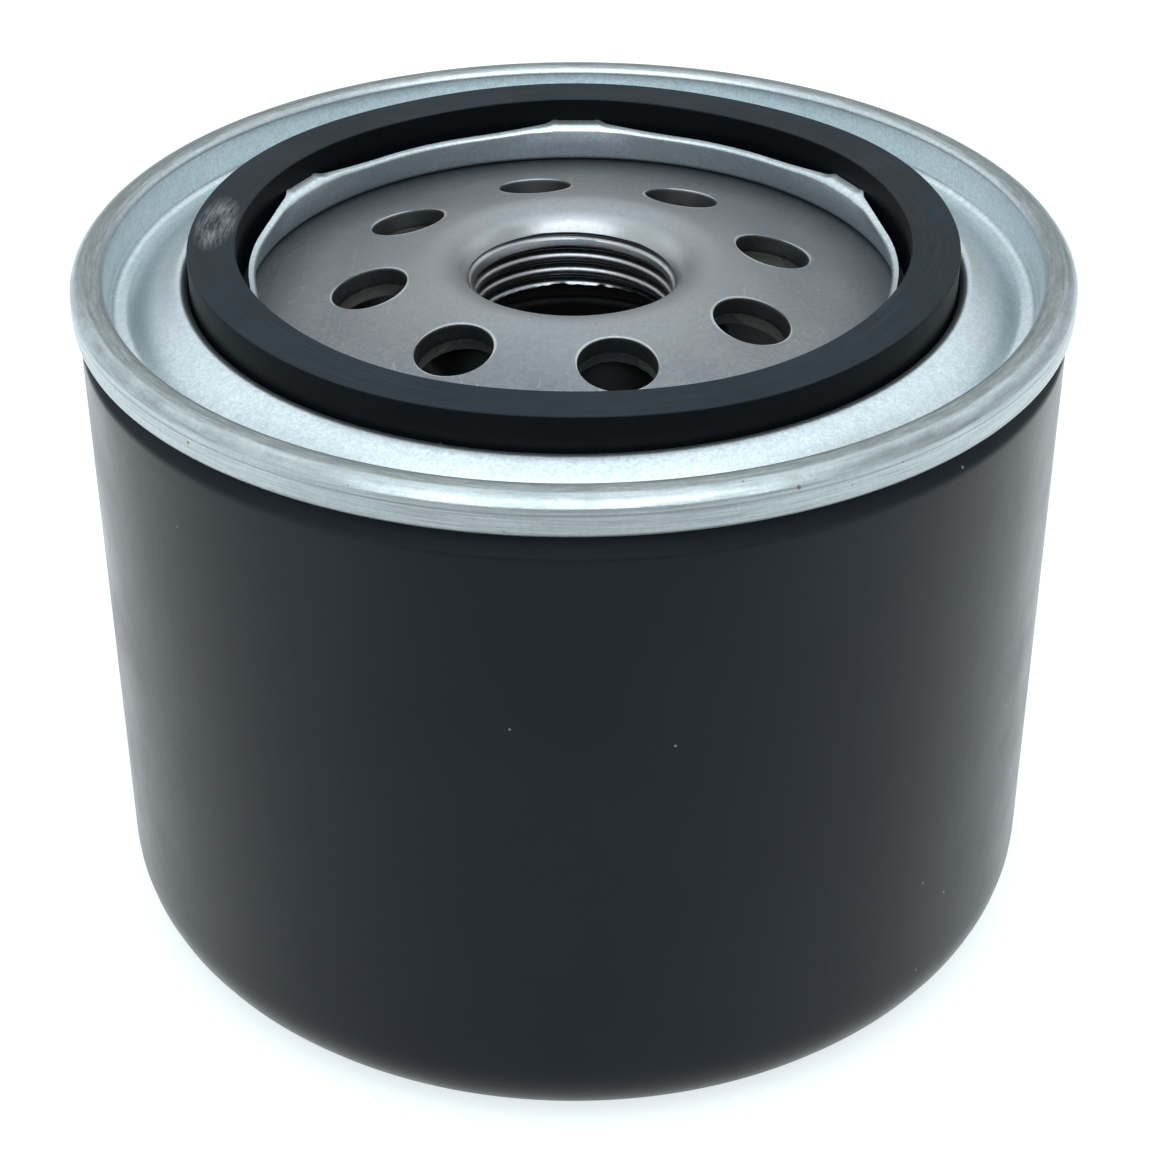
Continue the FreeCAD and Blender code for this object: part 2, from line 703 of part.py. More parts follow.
parts = [
    housing_can(),
    seaming_lid(),
    ring_body(
        "seam_sealant",
        "sealant_inner",
        "sealant_outer",
        "seam_top - lid_sheet - sealant_room + spring_gap",
        "seam_top - lid_sheet - spring_gap",
    ),
    tapping_plate(),
    ring_body(
        "sealing_gasket",
        "gasket_inner",
        "gasket_outer",
        "groove_floor",
        "gasket_top",
        "gasket_edge",
    ),
    anti_drainback_valve(),
    upper_end_cap(),
    lower_end_cap(),
    centre_tube(),
    ring_body("upper_potting", POTTING_INNER, POTTING_OUTER, POTTING_BOTTOM, CAP_CEILING),
    ring_body("lower_potting", POTTING_INNER, POTTING_OUTER, CAP_FLOOR, POTTING_TOP),
    pleated_media(),
    media_seam_clip(),
    bypass_seat(),
    bypass_cage(),
    ring_body("bypass_seal", "stem_radius + clip_gap", "seal_radius", WASHER_BOTTOM, DISC_BOTTOM),
    bypass_disc(),
    bypass_stem(),
    coil(
        "bypass_spring",
        "bypass_wire",
        "bypass_spring_radius",
        "bypass_spring_radius",
        DISC_BOTTOM + " + disc_sheet",
        "cage_top - cage_sheet",
        "bypass_turns",
    ),
    spring_seat(),
    coil(
        "support_spring",
        "support_wire",
        "support_bottom_radius",
        "support_top_radius",
        "panel_rise + can_sheet",
        "element_bottom - seat_sheet",
        "support_turns",
    ),
]
write_parts(parts)
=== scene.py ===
"""Looks of the spin-on oil filter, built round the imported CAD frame. Units are metres, +Z up."""
import math

import bmesh
import bpy
import numpy as np
from mathutils import Matrix, Vector


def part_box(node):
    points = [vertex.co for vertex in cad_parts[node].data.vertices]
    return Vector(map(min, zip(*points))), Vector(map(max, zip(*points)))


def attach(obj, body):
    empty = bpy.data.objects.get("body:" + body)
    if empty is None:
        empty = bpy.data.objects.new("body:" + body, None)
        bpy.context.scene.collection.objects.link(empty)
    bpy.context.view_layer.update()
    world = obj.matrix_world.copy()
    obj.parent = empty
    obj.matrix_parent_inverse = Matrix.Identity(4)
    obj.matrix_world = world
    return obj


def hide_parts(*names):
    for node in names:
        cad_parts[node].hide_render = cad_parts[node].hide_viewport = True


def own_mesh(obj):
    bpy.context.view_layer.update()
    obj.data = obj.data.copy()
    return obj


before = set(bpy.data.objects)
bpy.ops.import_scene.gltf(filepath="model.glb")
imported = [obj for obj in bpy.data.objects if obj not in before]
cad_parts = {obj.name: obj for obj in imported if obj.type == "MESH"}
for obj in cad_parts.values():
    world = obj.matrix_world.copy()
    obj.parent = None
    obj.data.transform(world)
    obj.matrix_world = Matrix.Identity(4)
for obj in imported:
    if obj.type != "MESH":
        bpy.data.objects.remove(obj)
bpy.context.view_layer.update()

MM = 0.001
TURN = 2 * math.pi
ROUND_SEGMENTS = 360
LID_SEGMENTS = 456
VALVE_SEGMENTS = 192
PUNCH_SEGMENTS = 96
WIRE_SIDES = 20
ARC_STEP = math.radians(9)
COARSE_STEP = math.radians(15)


# ---------------------------------------------------------------- measures
CAN_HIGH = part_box("housing_can")[1]
LID_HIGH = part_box("seaming_lid")[1]
PLATE_LOW, PLATE_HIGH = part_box("tapping_plate")
GASKET_LOW, GASKET_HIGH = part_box("sealing_gasket")
VALVE_LOW, VALVE_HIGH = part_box("anti_drainback_valve")
MEDIA_LOW, MEDIA_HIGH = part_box("pleated_media")

CAN_RADIUS = CAN_HIGH.x
SEAM_RADIUS = LID_HIGH.x
SEAM_TOP = LID_HIGH.z
SEAM_BOTTOM = SEAM_TOP - 3.9 * MM
GASKET_OUTER = GASKET_HIGH.x
GASKET_INNER = GASKET_OUTER - 4.45 * MM
GASKET_TOP = GASKET_HIGH.z
GROOVE_FLOOR = GASKET_LOW.z
PLATE_RADIUS = PLATE_HIGH.x

LEDGE_RADIUS = 41.5 * MM
SHOULDER_RADIUS = 38.9 * MM
SHOULDER_TOP = 66.85 * MM
CREST_TOP = 67.9 * MM
LIP_FOOT = GROOVE_FLOOR + 0.6 * MM

CAN_SHEET = 0.5 * MM
LID_SHEET = 0.7 * MM
SEAM_GAP = 0.05 * MM
PLATE_SHEET = 3.0 * MM

INLET_COUNT = 8
INLET_CIRCLE = 19.3 * MM
INLET_RADIUS = 3.6 * MM
INLET_START = math.radians(101.5)
INLET_DRAFT = 0.35 * MM
# Width of the painted highlight round each inlet hole's edge.
INLET_PAINTED_HIGHLIGHT = 0.10 * MM

SCUFF_ANGLE = math.radians(177)

CRIMP_COUNT = 6
CRIMP_START = math.radians(89.5)
LIP_OUTER = 31.1 * MM
LIP_LEAN = 0.9 * MM
LIP_TOP = 67.7 * MM

RIM_TOP = PLATE_LOW.z + 3.75 * MM
RIM_INNER = 29.5 * MM
NECK_RADIUS = 12.0 * MM
NECK_CORNER = 65.1 * MM
MOUTH_CORNER = 68.84 * MM
MOUTH_BEND = 4.0 * MM

THREAD_PITCH = 1.5 * MM
THREAD_CREST = 9.19 * MM
THREAD_DEPTH = 0.68 * MM
THREAD_TOP = 66.2 * MM
THREAD_START = -0.15 * MM

PLEAT_COUNT = 40
PAPER_THICKNESS = 0.62 * MM


# ---------------------------------------------------------------- mesh tools
def rounded(corners, closed=False, step=ARC_STEP):
    """Turn corners (across, up, bend radius) into a polyline whose bends are arcs."""
    points = [np.array(corner[:2], float) for corner in corners]
    count = len(points)
    line = []
    for i, (point, corner) in enumerate(zip(points, corners)):
        inside = closed or 0 < i < count - 1
        if not inside or corner[2] == 0:
            line.append(point)
            continue
        before = point - points[i - 1]
        after = points[(i + 1) % count] - point
        before /= np.linalg.norm(before)
        after /= np.linalg.norm(after)
        cross = before[0] * after[1] - before[1] * after[0]
        turn = math.atan2(cross, before @ after)
        taken = corner[2] * math.tan(abs(turn) / 2)
        side = math.copysign(1, turn)
        centre = point - before * taken + side * corner[2] * np.array([-before[1], before[0]])
        first = point - before * taken - centre
        steps = max(2, math.ceil(abs(turn) / step))
        for k in range(steps + 1):
            angle = turn * k / steps
            c, s = math.cos(angle), math.sin(angle)
            line.append(centre + np.array([c * first[0] - s * first[1], s * first[0] + c * first[1]]))
    return np.array(line)


def subdivided(line, longest, closed=False):
    """Add points so that no stretch of a polyline is longer than a limit."""
    ends = np.vstack([line, line[:1]]) if closed else line
    out = []
    for a, b in zip(ends[:-1], ends[1:]):
        steps = max(1, math.ceil(np.linalg.norm(b - a) / longest))
        out += [a + (b - a) * k / steps for k in range(steps)]
    if not closed:
        out.append(ends[-1])
    return np.array(out)


def beside(line, distance):
    """Move an open polyline sideways, to its left."""
    along = np.diff(line, axis=0)
    along /= np.linalg.norm(along, axis=1)[:, None]
    normal = np.stack([-along[:, 1], along[:, 0]], 1)
    first = np.vstack([normal[:1], normal])
    last = np.vstack([normal, normal[-1:]])
    blend = (first + last) / (1 + (first * last).sum(1))[:, None]
    return line + blend * distance


def sheet_section(corners, thickness, longest=1.0 * MM, worn=0.0, step=ARC_STEP):
    """Give the closed outline of a bent sheet; worn rounds the far corner of its last edge."""
    face = subdivided(rounded(corners, step=step), longest)
    outline = np.vstack([face, beside(face, thickness)[::-1]])
    if worn:
        bends = np.zeros(len(outline))
        bends[len(face)] = worn
        corners = [(*point, bend) for point, bend in zip(outline, bends)]
        outline = rounded(corners, closed=True, step=step)
    return outline


def new_object(name, points, faces, sharp=35, welded=False):
    """Make a smooth-shaded object whose edges above an angle stay sharp."""
    mesh = bpy.data.meshes.new(name)
    mesh.from_pydata(points, [], faces)
    mesh.validate()
    shape = bmesh.new()
    shape.from_mesh(mesh)
    if welded:
        bmesh.ops.remove_doubles(shape, verts=shape.verts, dist=0.001 * MM)
    bmesh.ops.recalc_face_normals(shape, faces=shape.faces)
    shape.to_mesh(mesh)
    shape.free()
    mesh.polygons.foreach_set("use_smooth", [True] * len(mesh.polygons))
    mesh.set_sharp_from_angle(angle=math.radians(sharp))
    thing = bpy.data.objects.new(name, mesh)
    bpy.context.scene.collection.objects.link(thing)
    return thing


def turned_mesh(outline, closed=True, segments=ROUND_SEGMENTS, warp=None, crowd=None):
    """Points and faces of an outline turned round Z; warp bends it and crowd moves its angles."""
    outline = np.array(outline)
    count = len(outline)
    angle = np.arange(segments) * TURN / segments
    if crowd:
        angle = crowd(angle)
    radius = np.repeat(outline[:, :1], segments, 1)
    height = np.repeat(outline[:, 1:], segments, 1)
    if warp:
        radius, height = warp(radius, height, np.repeat(angle[None], count, 0))
    points, rows = [], []
    for j in range(count):
        if outline[j, 0] < 1e-7:
            rows.append([len(points)] * segments)
            points.append((0.0, 0.0, outline[j, 1]))
        else:
            rows.append(list(range(len(points), len(points) + segments)))
            x, y = radius[j] * np.cos(angle), radius[j] * np.sin(angle)
            points += list(zip(x.tolist(), y.tolist(), height[j].tolist()))
    faces = []
    for j in range(count if closed else count - 1):
        low, high = rows[j], rows[(j + 1) % count]
        for i in range(segments):
            k = (i + 1) % segments
            face = list(dict.fromkeys((low[i], low[k], high[k], high[i])))
            if len(face) > 2:
                faces.append(face)
    return points, faces


def lathe(name, outline, closed=True, segments=ROUND_SEGMENTS, warp=None, sharp=35, crowd=None):
    """Turn an outline into an object. warp(radius, height, angle) gives the bent radius and height."""
    return new_object(name, *turned_mesh(outline, closed, segments, warp, crowd), sharp)


def swept_round(name, centres, radius):
    """Sweep a round wire along points and close its ends."""
    sides = WIRE_SIDES
    centres = np.array(centres)
    along = np.gradient(centres, axis=0)
    along /= np.linalg.norm(along, axis=1)[:, None]
    outward = centres * [1, 1, 0]
    outward -= (outward * along).sum(1)[:, None] * along
    outward /= np.linalg.norm(outward, axis=1)[:, None]
    across = np.cross(along, outward)
    turn = np.arange(sides) * TURN / sides
    c, s = np.cos(turn)[None, :, None], np.sin(turn)[None, :, None]
    ring = c * outward[:, None] + s * across[:, None]
    points = (centres[:, None] + radius * ring).reshape(-1, 3)
    faces = []
    for j in range(len(centres) - 1):
        for i in range(sides):
            k = (i + 1) % sides
            faces.append((j * sides + i, j * sides + k, (j + 1) * sides + k, (j + 1) * sides + i))
    faces.append(list(range(sides))[::-1])
    faces.append(list(range((len(centres) - 1) * sides, len(centres) * sides)))
    return new_object(name, points.tolist(), faces, 50)


def angle_from(angle, start, count):
    """Signed angle from the nearest of count equal directions."""
    step = TURN / count
    return (angle - start + step / 2) % step - step / 2


def finish_piece(piece, body, material, slot, *nodes):
    """Give a new piece its material and body, and hide the CAD nodes that it stands for. The slot
    argument is not used.
    """
    piece.data.materials.clear()
    piece.data.materials.append(material)
    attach(piece, body)
    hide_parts(*nodes)
    return piece


# ---------------------------------------------------------------- material tools
class Graph:
    """Short calls for building one material's nodes. Positions are in millimetres."""

    def __init__(self, name):
        self.material = bpy.data.materials.new(name)
        self.material.use_nodes = True
        self.tree = self.material.node_tree
        self.shader = self.tree.nodes["Principled BSDF"]
        place = self.node("ShaderNodeTexCoord").outputs["Object"]
        scale = self.node("ShaderNodeVectorMath", operation="SCALE")
        self.tree.links.new(place, scale.inputs[0])
        scale.inputs["Scale"].default_value = 1 / MM
        self.place = scale.outputs[0]
        parts = self.node("ShaderNodeSeparateXYZ")
        self.tree.links.new(self.place, parts.inputs[0])
        self.x, self.y, self.z = parts.outputs
        self.radius = self.math("SQRT", self.math("ADD", self.math("MULTIPLY", self.x, self.x),
                                                  self.math("MULTIPLY", self.y, self.y)))
        self.normal = None

    def node(self, kind, **settings):
        made = self.tree.nodes.new(kind)
        for key, value in settings.items():
            setattr(made, key, value)
        return made

    def put(self, value, socket):
        if isinstance(value, (int, float, tuple, list)):
            socket.default_value = value
        else:
            self.tree.links.new(value, socket)

    def facing_up(self):
        """The surface's upward share: 1 on a level top, 0 on a wall."""
        parts = self.node("ShaderNodeSeparateXYZ")
        self.tree.links.new(self.node("ShaderNodeNewGeometry").outputs["Normal"], parts.inputs[0])
        return parts.outputs["Z"]

    def math(self, operation, a, b=0.0, clamp=False):
        made = self.node("ShaderNodeMath", operation=operation, use_clamp=clamp)
        self.put(a, made.inputs[0])
        self.put(b, made.inputs[1])
        return made.outputs[0]

    def noise(self, per_mm, detail=4.0, rough=0.55, place=None, distortion=0.0):
        """Noise from 0 to 1 with so many cycles a millimetre."""
        made = self.node("ShaderNodeTexNoise")
        self.put(place or self.place, made.inputs["Vector"])
        made.inputs["Scale"].default_value = per_mm
        made.inputs["Detail"].default_value = detail
        made.inputs["Roughness"].default_value = rough
        made.inputs["Distortion"].default_value = distortion
        return made.outputs["Fac"]

    def cells(self, per_mm):
        """Distance from the nearest of scattered points, as a share of their spacing."""
        made = self.node("ShaderNodeTexVoronoi", feature="F1")
        self.put(self.place, made.inputs["Vector"])
        made.inputs["Scale"].default_value = per_mm
        return made.outputs["Distance"]

    def vector(self, x, y, z):
        made = self.node("ShaderNodeCombineXYZ")
        for value, socket in zip((x, y, z), made.inputs):
            self.put(value, socket)
        return made.outputs[0]

    def rings(self, round_cycles, per_mm):
        """A place that changes slowly round Z and fast across the radius and height."""
        across = self.math("ADD", self.radius, self.math("MULTIPLY", self.z, 1.37))
        return self.vector(
            self.math("MULTIPLY", self.math("DIVIDE", self.x, self.radius), round_cycles),
            self.math("MULTIPLY", self.math("DIVIDE", self.y, self.radius), round_cycles),
            self.math("MULTIPLY", across, per_mm),
        )

    def remap(self, value, low, high, to_low=0.0, to_high=1.0, smooth=False):
        made = self.node("ShaderNodeMapRange")
        made.interpolation_type = "SMOOTHSTEP" if smooth else "LINEAR"
        for part, socket in zip((value, low, high, to_low, to_high), made.inputs):
            self.put(part, socket)
        return made.outputs["Result"]

    def mix(self, share, a, b):
        made = self.node("ShaderNodeMix", data_type="RGBA", blend_type="MIX")
        self.put(share, made.inputs["Factor"])
        self.put((*a, 1) if isinstance(a, tuple) else a, made.inputs["A"])
        self.put((*b, 1) if isinstance(b, tuple) else b, made.inputs["B"])
        return made.outputs["Result"]

    def bump(self, height, depth_mm):
        """Add relief; the height goes from 0 to 1 and stands for so many millimetres."""
        made = self.node("ShaderNodeBump")
        made.inputs["Strength"].default_value = 1.0
        made.inputs["Distance"].default_value = depth_mm * MM
        self.put(height, made.inputs["Height"])
        if self.normal is not None:
            self.put(self.normal, made.inputs["Normal"])
        self.normal = made.outputs["Normal"]
        return self.normal

    def done(self, color, roughness, metallic=0.0, **constants):
        self.put((*color, 1) if isinstance(color, tuple) else color, self.shader.inputs["Base Color"])
        self.put(roughness, self.shader.inputs["Roughness"])
        self.shader.inputs["Metallic"].default_value = metallic
        if self.normal is not None:
            self.put(self.normal, self.shader.inputs["Normal"])
        for name, value in constants.items():
            self.shader.inputs[name.replace("_", " ")].default_value = value
        return self.material


def enamel():
    """Black stoved enamel with a slight orange peel, dust specks and hairline scratches."""
    g = Graph("black_enamel")
    cloud = g.noise(0.045, 4, 0.55)
    color = g.mix(g.remap(cloud, 0.3, 0.7), (0.0010, 0.0036, 0.0072), (0.0028, 0.0060, 0.0098))
    dust_and_top_light = g.math("LESS_THAN", g.cells(0.17), 0.024)
    color = g.mix(g.math("MULTIPLY", dust_and_top_light, 0.5), color, (0.32, 0.31, 0.29))
    peel = g.noise(0.55, 2, 0.4)
    fine = g.noise(3.0, 3, 0.5)
    stretched = g.vector(g.math("MULTIPLY", g.x, 5.0), g.y, g.math("MULTIPLY", g.z, 4.0))
    hair = g.noise(0.20, 6, 0.7, stretched, 1.0)
    g.bump(peel, 0.010)
    g.bump(fine, 0.0012)
    g.bump(g.remap(hair, 0.60, 0.63), 0.0015)
    neck = g.remap(g.z, SEAM_BOTTOM / MM - 2.5, SEAM_BOTTOM / MM - 1.7, 0, 0.45, True)
    roughness = g.math("ADD", g.remap(g.noise(0.12, 5, 0.6), 0.3, 0.7, 0.20, 0.30), neck)
    return g.done(color, roughness, 0.0, Specular_IOR_Level=0.22)


def zinc():
    """Zinc-plated sheet: mottled grain, with rolled streaks, wear and specks on the seam; the seam is
    painted darker, as painted shade, and carries a painted dark line below its highlight.
    """
    g = Graph("zinc_plate")
    seam = g.remap(g.radius, 43.6, 44.4, 0, 1, True)
    top = g.math("MULTIPLY", g.remap(g.radius, 43.5, 43.9, 0, 1, True),
                 g.remap(g.radius, 45.4, 45.1, 0, 1, True))
    cloud = g.noise(0.08, 4, 0.55)
    spangle = g.noise(1.1, 5, 0.7)
    grain = g.noise(3.2, 5, 0.65)
    fine = g.noise(6.5, 3, 0.6)
    streak = g.noise(1.0, 6, 0.75, g.rings(6, 4.5))
    color = g.mix(g.remap(cloud, 0.3, 0.7), (0.64, 0.715, 0.745), (0.74, 0.805, 0.83))
    color = g.mix(g.remap(spangle, 0.38, 0.62, 0, 0.6), color, (0.55, 0.62, 0.65))
    color = g.mix(g.remap(grain, 0.42, 0.62, 0, 0.45), color, (0.40, 0.45, 0.475))
    # Painted shade: the whole seam is painted darker than the lid's floor.
    color = g.mix(g.math("MULTIPLY", seam, 0.55), color, (0.36, 0.405, 0.41))
    color = g.mix(g.remap(fine, 0.45, 0.60, 0, 0.30), color, (0.45, 0.50, 0.52))
    rolled = g.math("MULTIPLY", seam, g.remap(streak, 0.42, 0.66, 0, 0.75))
    color = g.mix(rolled, color, (0.25, 0.28, 0.28))
    # Painted shade: a thin dark line painted round the seam's outer face, just below the highlight of
    # its rounded top.
    painted_dark_line = g.math("ABSOLUTE", g.math("SUBTRACT", g.z, SEAM_TOP / MM - 1.55))
    painted_dark_line = g.math("MULTIPLY", g.remap(painted_dark_line, 0.14, 0.04, 0, 0.5), g.remap(g.radius, 45.9, 46.2))
    color = g.mix(painted_dark_line, color, (0.16, 0.17, 0.17))
    rub = g.noise(0.9, 6, 0.75, g.rings(14, 3.0))
    rubbed = g.math("MULTIPLY", top, g.remap(rub, 0.35, 0.62, 0.35, 0.95))
    color = g.mix(rubbed, color, (0.215, 0.232, 0.225))
    specks = g.math("MULTIPLY", seam, g.math("LESS_THAN", g.cells(0.40), 0.038))
    color = g.mix(g.math("MULTIPLY", specks, 0.75), color, (0.075, 0.07, 0.06))
    rust = g.math("MULTIPLY", seam, g.math("LESS_THAN", g.cells(0.10), 0.022))
    color = g.mix(g.math("MULTIPLY", rust, 0.8), color, (0.20, 0.12, 0.06))
    roughness = g.math("ADD", g.remap(grain, 0.3, 0.7, 0.28, 0.40), g.math("MULTIPLY", rubbed, 0.15))
    g.bump(spangle, 0.016)
    g.bump(grain, 0.010)
    g.bump(g.math("MULTIPLY", streak, seam), 0.03)
    return g.done(color, roughness, 1.0)


def mouth_foot():
    """Height where the straight bore ends and the mouth's rounding begins."""
    slope = math.atan2(MOUTH_CORNER - RIM_TOP, RIM_INNER - THREAD_CREST)
    return MOUTH_CORNER - MOUTH_BEND * math.tan((math.pi / 2 + slope) / 2)


def hole_distance(g):
    """Distance in millimetres from the axis of the nearest inlet hole."""
    step = TURN / INLET_COUNT
    angle = g.math("ARCTAN2", g.y, g.x)
    turned = g.math("ADD", angle, step / 2 - INLET_START)
    folded = g.math("SUBTRACT", g.math("FLOORED_MODULO", turned, step), step / 2)
    sideways = g.math("MULTIPLY", folded, g.radius)
    outward = g.math("SUBTRACT", g.radius, INLET_CIRCLE / MM)
    square = g.math("ADD", g.math("MULTIPLY", sideways, sideways), g.math("MULTIPLY", outward, outward))
    return g.math("SQRT", square)


def cone_depth(g):
    """Depth in millimetres below the upper face of the plate's cone."""
    slope = (MOUTH_CORNER - RIM_TOP) / (RIM_INNER - THREAD_CREST)
    face = g.math("SUBTRACT", (RIM_TOP + slope * RIM_INNER) / MM, g.math("MULTIPLY", g.radius, slope))
    return g.math("SUBTRACT", face, g.z)


def mouth_surface(g):
    """Radius in millimetres of the mouth's rounding, and of the crests below it, at each height."""
    bend = MOUTH_BEND / MM
    climb = g.remap(g.z, mouth_foot() / MM, mouth_foot() / MM + bend)
    side = g.math("SQRT", g.math("SUBTRACT", 1.0, g.math("MULTIPLY", climb, climb)))
    return g.math("ADD", THREAD_CREST / MM, g.math("MULTIPLY", g.math("SUBTRACT", 1.0, side), bend))


def scratches(g, stretch, thin):
    """Fine crossing scratches, from 0 to 1."""
    flat = g.noise(0.30, 8, 0.78, g.vector(g.math("MULTIPLY", g.x, stretch), g.y, g.z), 1.4)
    steep = g.noise(0.30, 8, 0.78, g.vector(g.x, g.math("MULTIPLY", g.y, stretch), g.z), 1.4)
    flat = g.remap(flat, thin, thin + 0.04)
    steep = g.remap(steep, thin + 0.02, thin + 0.06)
    return g.math("ADD", flat, steep, True)


def plate_steel():
    """Drawn plate steel: satin and stained, finely scratched, burnished in the bore and on the holes'
    upper walls, rough where the holes broke out. Painted shade darkens the outer rim, the thread's
    grooves and the holes' burnished walls; painted highlights lighten the ring round the mouth and the
    holes' edges.
    """
    g = Graph("plate_steel")
    cloud = g.noise(0.10, 5, 0.65)
    stain = g.noise(0.035, 4, 0.6)
    grain = g.noise(2.0, 5, 0.65)
    marks = scratches(g, 7.0, 0.585)
    color = g.mix(g.remap(cloud, 0.3, 0.7), (0.20, 0.212, 0.228), (0.255, 0.266, 0.28))
    color = g.mix(g.remap(stain, 0.45, 0.65, 0, 0.25), color, (0.16, 0.166, 0.176))
    color = g.mix(g.remap(grain, 0.4, 0.75, 0, 0.35), color, (0.13, 0.135, 0.145))
    color = g.mix(g.math("MULTIPLY", marks, 0.42), color, (0.46, 0.47, 0.48))
    # Painted shade: darker towards the outer rim, where the plate curves down.
    color = g.mix(g.remap(g.radius, 24.0, 30.0, 0, 0.40, True), color, (0.11, 0.115, 0.125))
    # Painted highlight: the plate is painted lighter in a ring round the mouth.
    color = g.mix(g.remap(g.radius, 23.0, 12.0, 0, 0.5, True), color, (0.37, 0.38, 0.395))
    bore = g.remap(g.radius, 11.4, 10.2, 0, 1, True)
    color = g.mix(g.math("MULTIPLY", bore, 0.8), color, (0.42, 0.43, 0.445))
    # Painted shade: the roots of the thread's grooves are painted near-black.
    groove_shade = g.remap(g.math("SUBTRACT", g.radius, mouth_surface(g)), 0.10, 0.30, 0, 1, True)
    groove_shade = g.math("MULTIPLY", groove_shade, g.remap(g.radius, 10.3, 10.1))
    color = g.mix(g.math("MULTIPLY", groove_shade, 0.92), color, (0.045, 0.045, 0.050))
    depth = cone_depth(g)
    away = hole_distance(g)
    wall = g.math("LESS_THAN", away, (INLET_RADIUS + INLET_DRAFT) / MM)
    wall = g.math("MULTIPLY", wall, g.remap(depth, 0.12, 0.3))
    # Painted shade: the holes' burnished upper walls are painted dark; the rough break-out below keeps
    # its own lighter colour.
    color = g.mix(g.math("MULTIPLY", wall, 0.9), color, (0.085, 0.084, 0.085))
    torn = g.math("MULTIPLY", wall, g.remap(depth, 1.75, 2.0))
    color = g.mix(g.math("MULTIPLY", torn, 0.9), color, (0.21, 0.21, 0.205))
    # Painted highlight: a thin light rim painted round the holes' edges.
    edge = g.math("LESS_THAN", away, (INLET_RADIUS + INLET_PAINTED_HIGHLIGHT) / MM)
    edge = g.math("MULTIPLY", edge, g.remap(depth, 0.12, 0.08, 0, 0.6))
    color = g.mix(edge, color, (0.55, 0.56, 0.57))
    dirt = g.math("LESS_THAN", g.cells(0.09), 0.018)
    color = g.mix(g.math("MULTIPLY", dirt, 0.7), color, (0.10, 0.06, 0.035))
    roughness = g.remap(grain, 0.3, 0.7, 0.48, 0.60)
    roughness = g.math("SUBTRACT", roughness, g.math("MULTIPLY", bore, 0.22))
    roughness = g.math("ADD", roughness, g.math("MULTIPLY", torn, 0.2))
    g.bump(grain, 0.006)
    g.bump(marks, 0.006)
    g.bump(g.math("MULTIPLY", g.noise(4.0, 4, 0.7), torn), 0.08)
    return g.done(color, roughness, 1.0)


def gasket_rubber():
    """Moulded black rubber with pale scuffs and dust specks; its flat top is painted greyer, as painted
    light from above.
    """
    g = Graph("gasket_rubber")
    top = g.remap(g.facing_up(), 0.55, 0.85)
    cloud = g.noise(0.15, 5, 0.65)
    grain = g.noise(3.0, 4, 0.6)
    skin = g.mix(g.remap(cloud, 0.3, 0.7), (0.0008, 0.0015, 0.0025), (0.0022, 0.0034, 0.0048))
    # Painted light: faces that point up get a greyer colour than the sides, as light from above.
    dust_and_top_light = g.mix(g.remap(cloud, 0.3, 0.7), (0.0080, 0.0135, 0.0185), (0.0150, 0.0215, 0.0280))
    color = g.mix(top, skin, dust_and_top_light)
    turned = g.noise(1.0, 6, 0.7, g.rings(3, 4.0))
    turned = g.math("MULTIPLY", top, g.remap(turned, 0.50, 0.75, 0, 0.35))
    color = g.mix(turned, color, (0.045, 0.052, 0.060))
    c, s = math.cos(SCUFF_ANGLE), math.sin(SCUFF_ANGLE)
    aside = g.math("SUBTRACT", g.math("MULTIPLY", g.y, c), g.math("MULTIPLY", g.x, s))
    outward = g.math("ADD", g.math("MULTIPLY", g.x, c), g.math("MULTIPLY", g.y, s))
    across = g.math("SUBTRACT", outward, GASKET_OUTER / MM - 2.3)
    apart = g.math("ADD", g.math("MULTIPLY", aside, g.math("MULTIPLY", aside, 0.034)),
                   g.math("MULTIPLY", across, g.math("MULTIPLY", across, 0.3)))
    streaks = g.noise(1.0, 6, 0.8, g.rings(9, 3.0))
    scuff = g.math("MULTIPLY", g.remap(apart, 1.3, 0.3), g.remap(streaks, 0.42, 0.62))
    scuff = g.math("MULTIPLY", g.math("MULTIPLY", scuff, top), 0.9)
    color = g.mix(scuff, color, (0.19, 0.20, 0.21))
    specks = g.math("LESS_THAN", g.cells(0.28), 0.022)
    color = g.mix(g.math("MULTIPLY", specks, 0.6), color, (0.20, 0.20, 0.20))
    g.bump(grain, 0.010)
    g.bump(g.noise(0.5, 2, 0.5), 0.03)
    roughness = g.mix(top, (0.42, 0.42, 0.42), (0.55, 0.55, 0.55))
    return g.done(color, roughness, 0.0, Specular_IOR_Level=0.12)


def plain_metal(name, low, high, roughness, grain_per_mm=2.0):
    """Sheet or wire metal with fine grain and cloudy tone."""
    g = Graph(name)
    cloud = g.noise(0.15, 4, 0.6)
    grain = g.noise(grain_per_mm, 5, 0.6)
    color = g.mix(g.remap(cloud, 0.3, 0.7), low, high)
    color = g.mix(g.remap(grain, 0.5, 0.8, 0, 0.4), color, tuple(part * 0.6 for part in low))
    g.bump(grain, 0.006)
    return g.done(color, g.remap(grain, 0.3, 0.7, roughness - 0.07, roughness + 0.07), 1.0)


def soft_matter(name, low, high, roughness, grain_per_mm, depth_mm):
    """Rubber, glue or paper: cloudy colour, fine relief, no metal."""
    g = Graph(name)
    cloud = g.noise(0.12, 4, 0.6)
    grain = g.noise(grain_per_mm, 5, 0.6)
    color = g.mix(g.remap(cloud, 0.3, 0.7), low, high)
    color = g.mix(g.remap(grain, 0.45, 0.8, 0, 0.35), color, tuple(part * 0.6 for part in low))
    g.bump(grain, depth_mm)
    return g.done(color, g.remap(grain, 0.3, 0.7, roughness - 0.08, roughness + 0.08), 0.0)


ENAMEL = enamel()
ZINC = zinc()
PLATE = plate_steel()
GASKET = gasket_rubber()
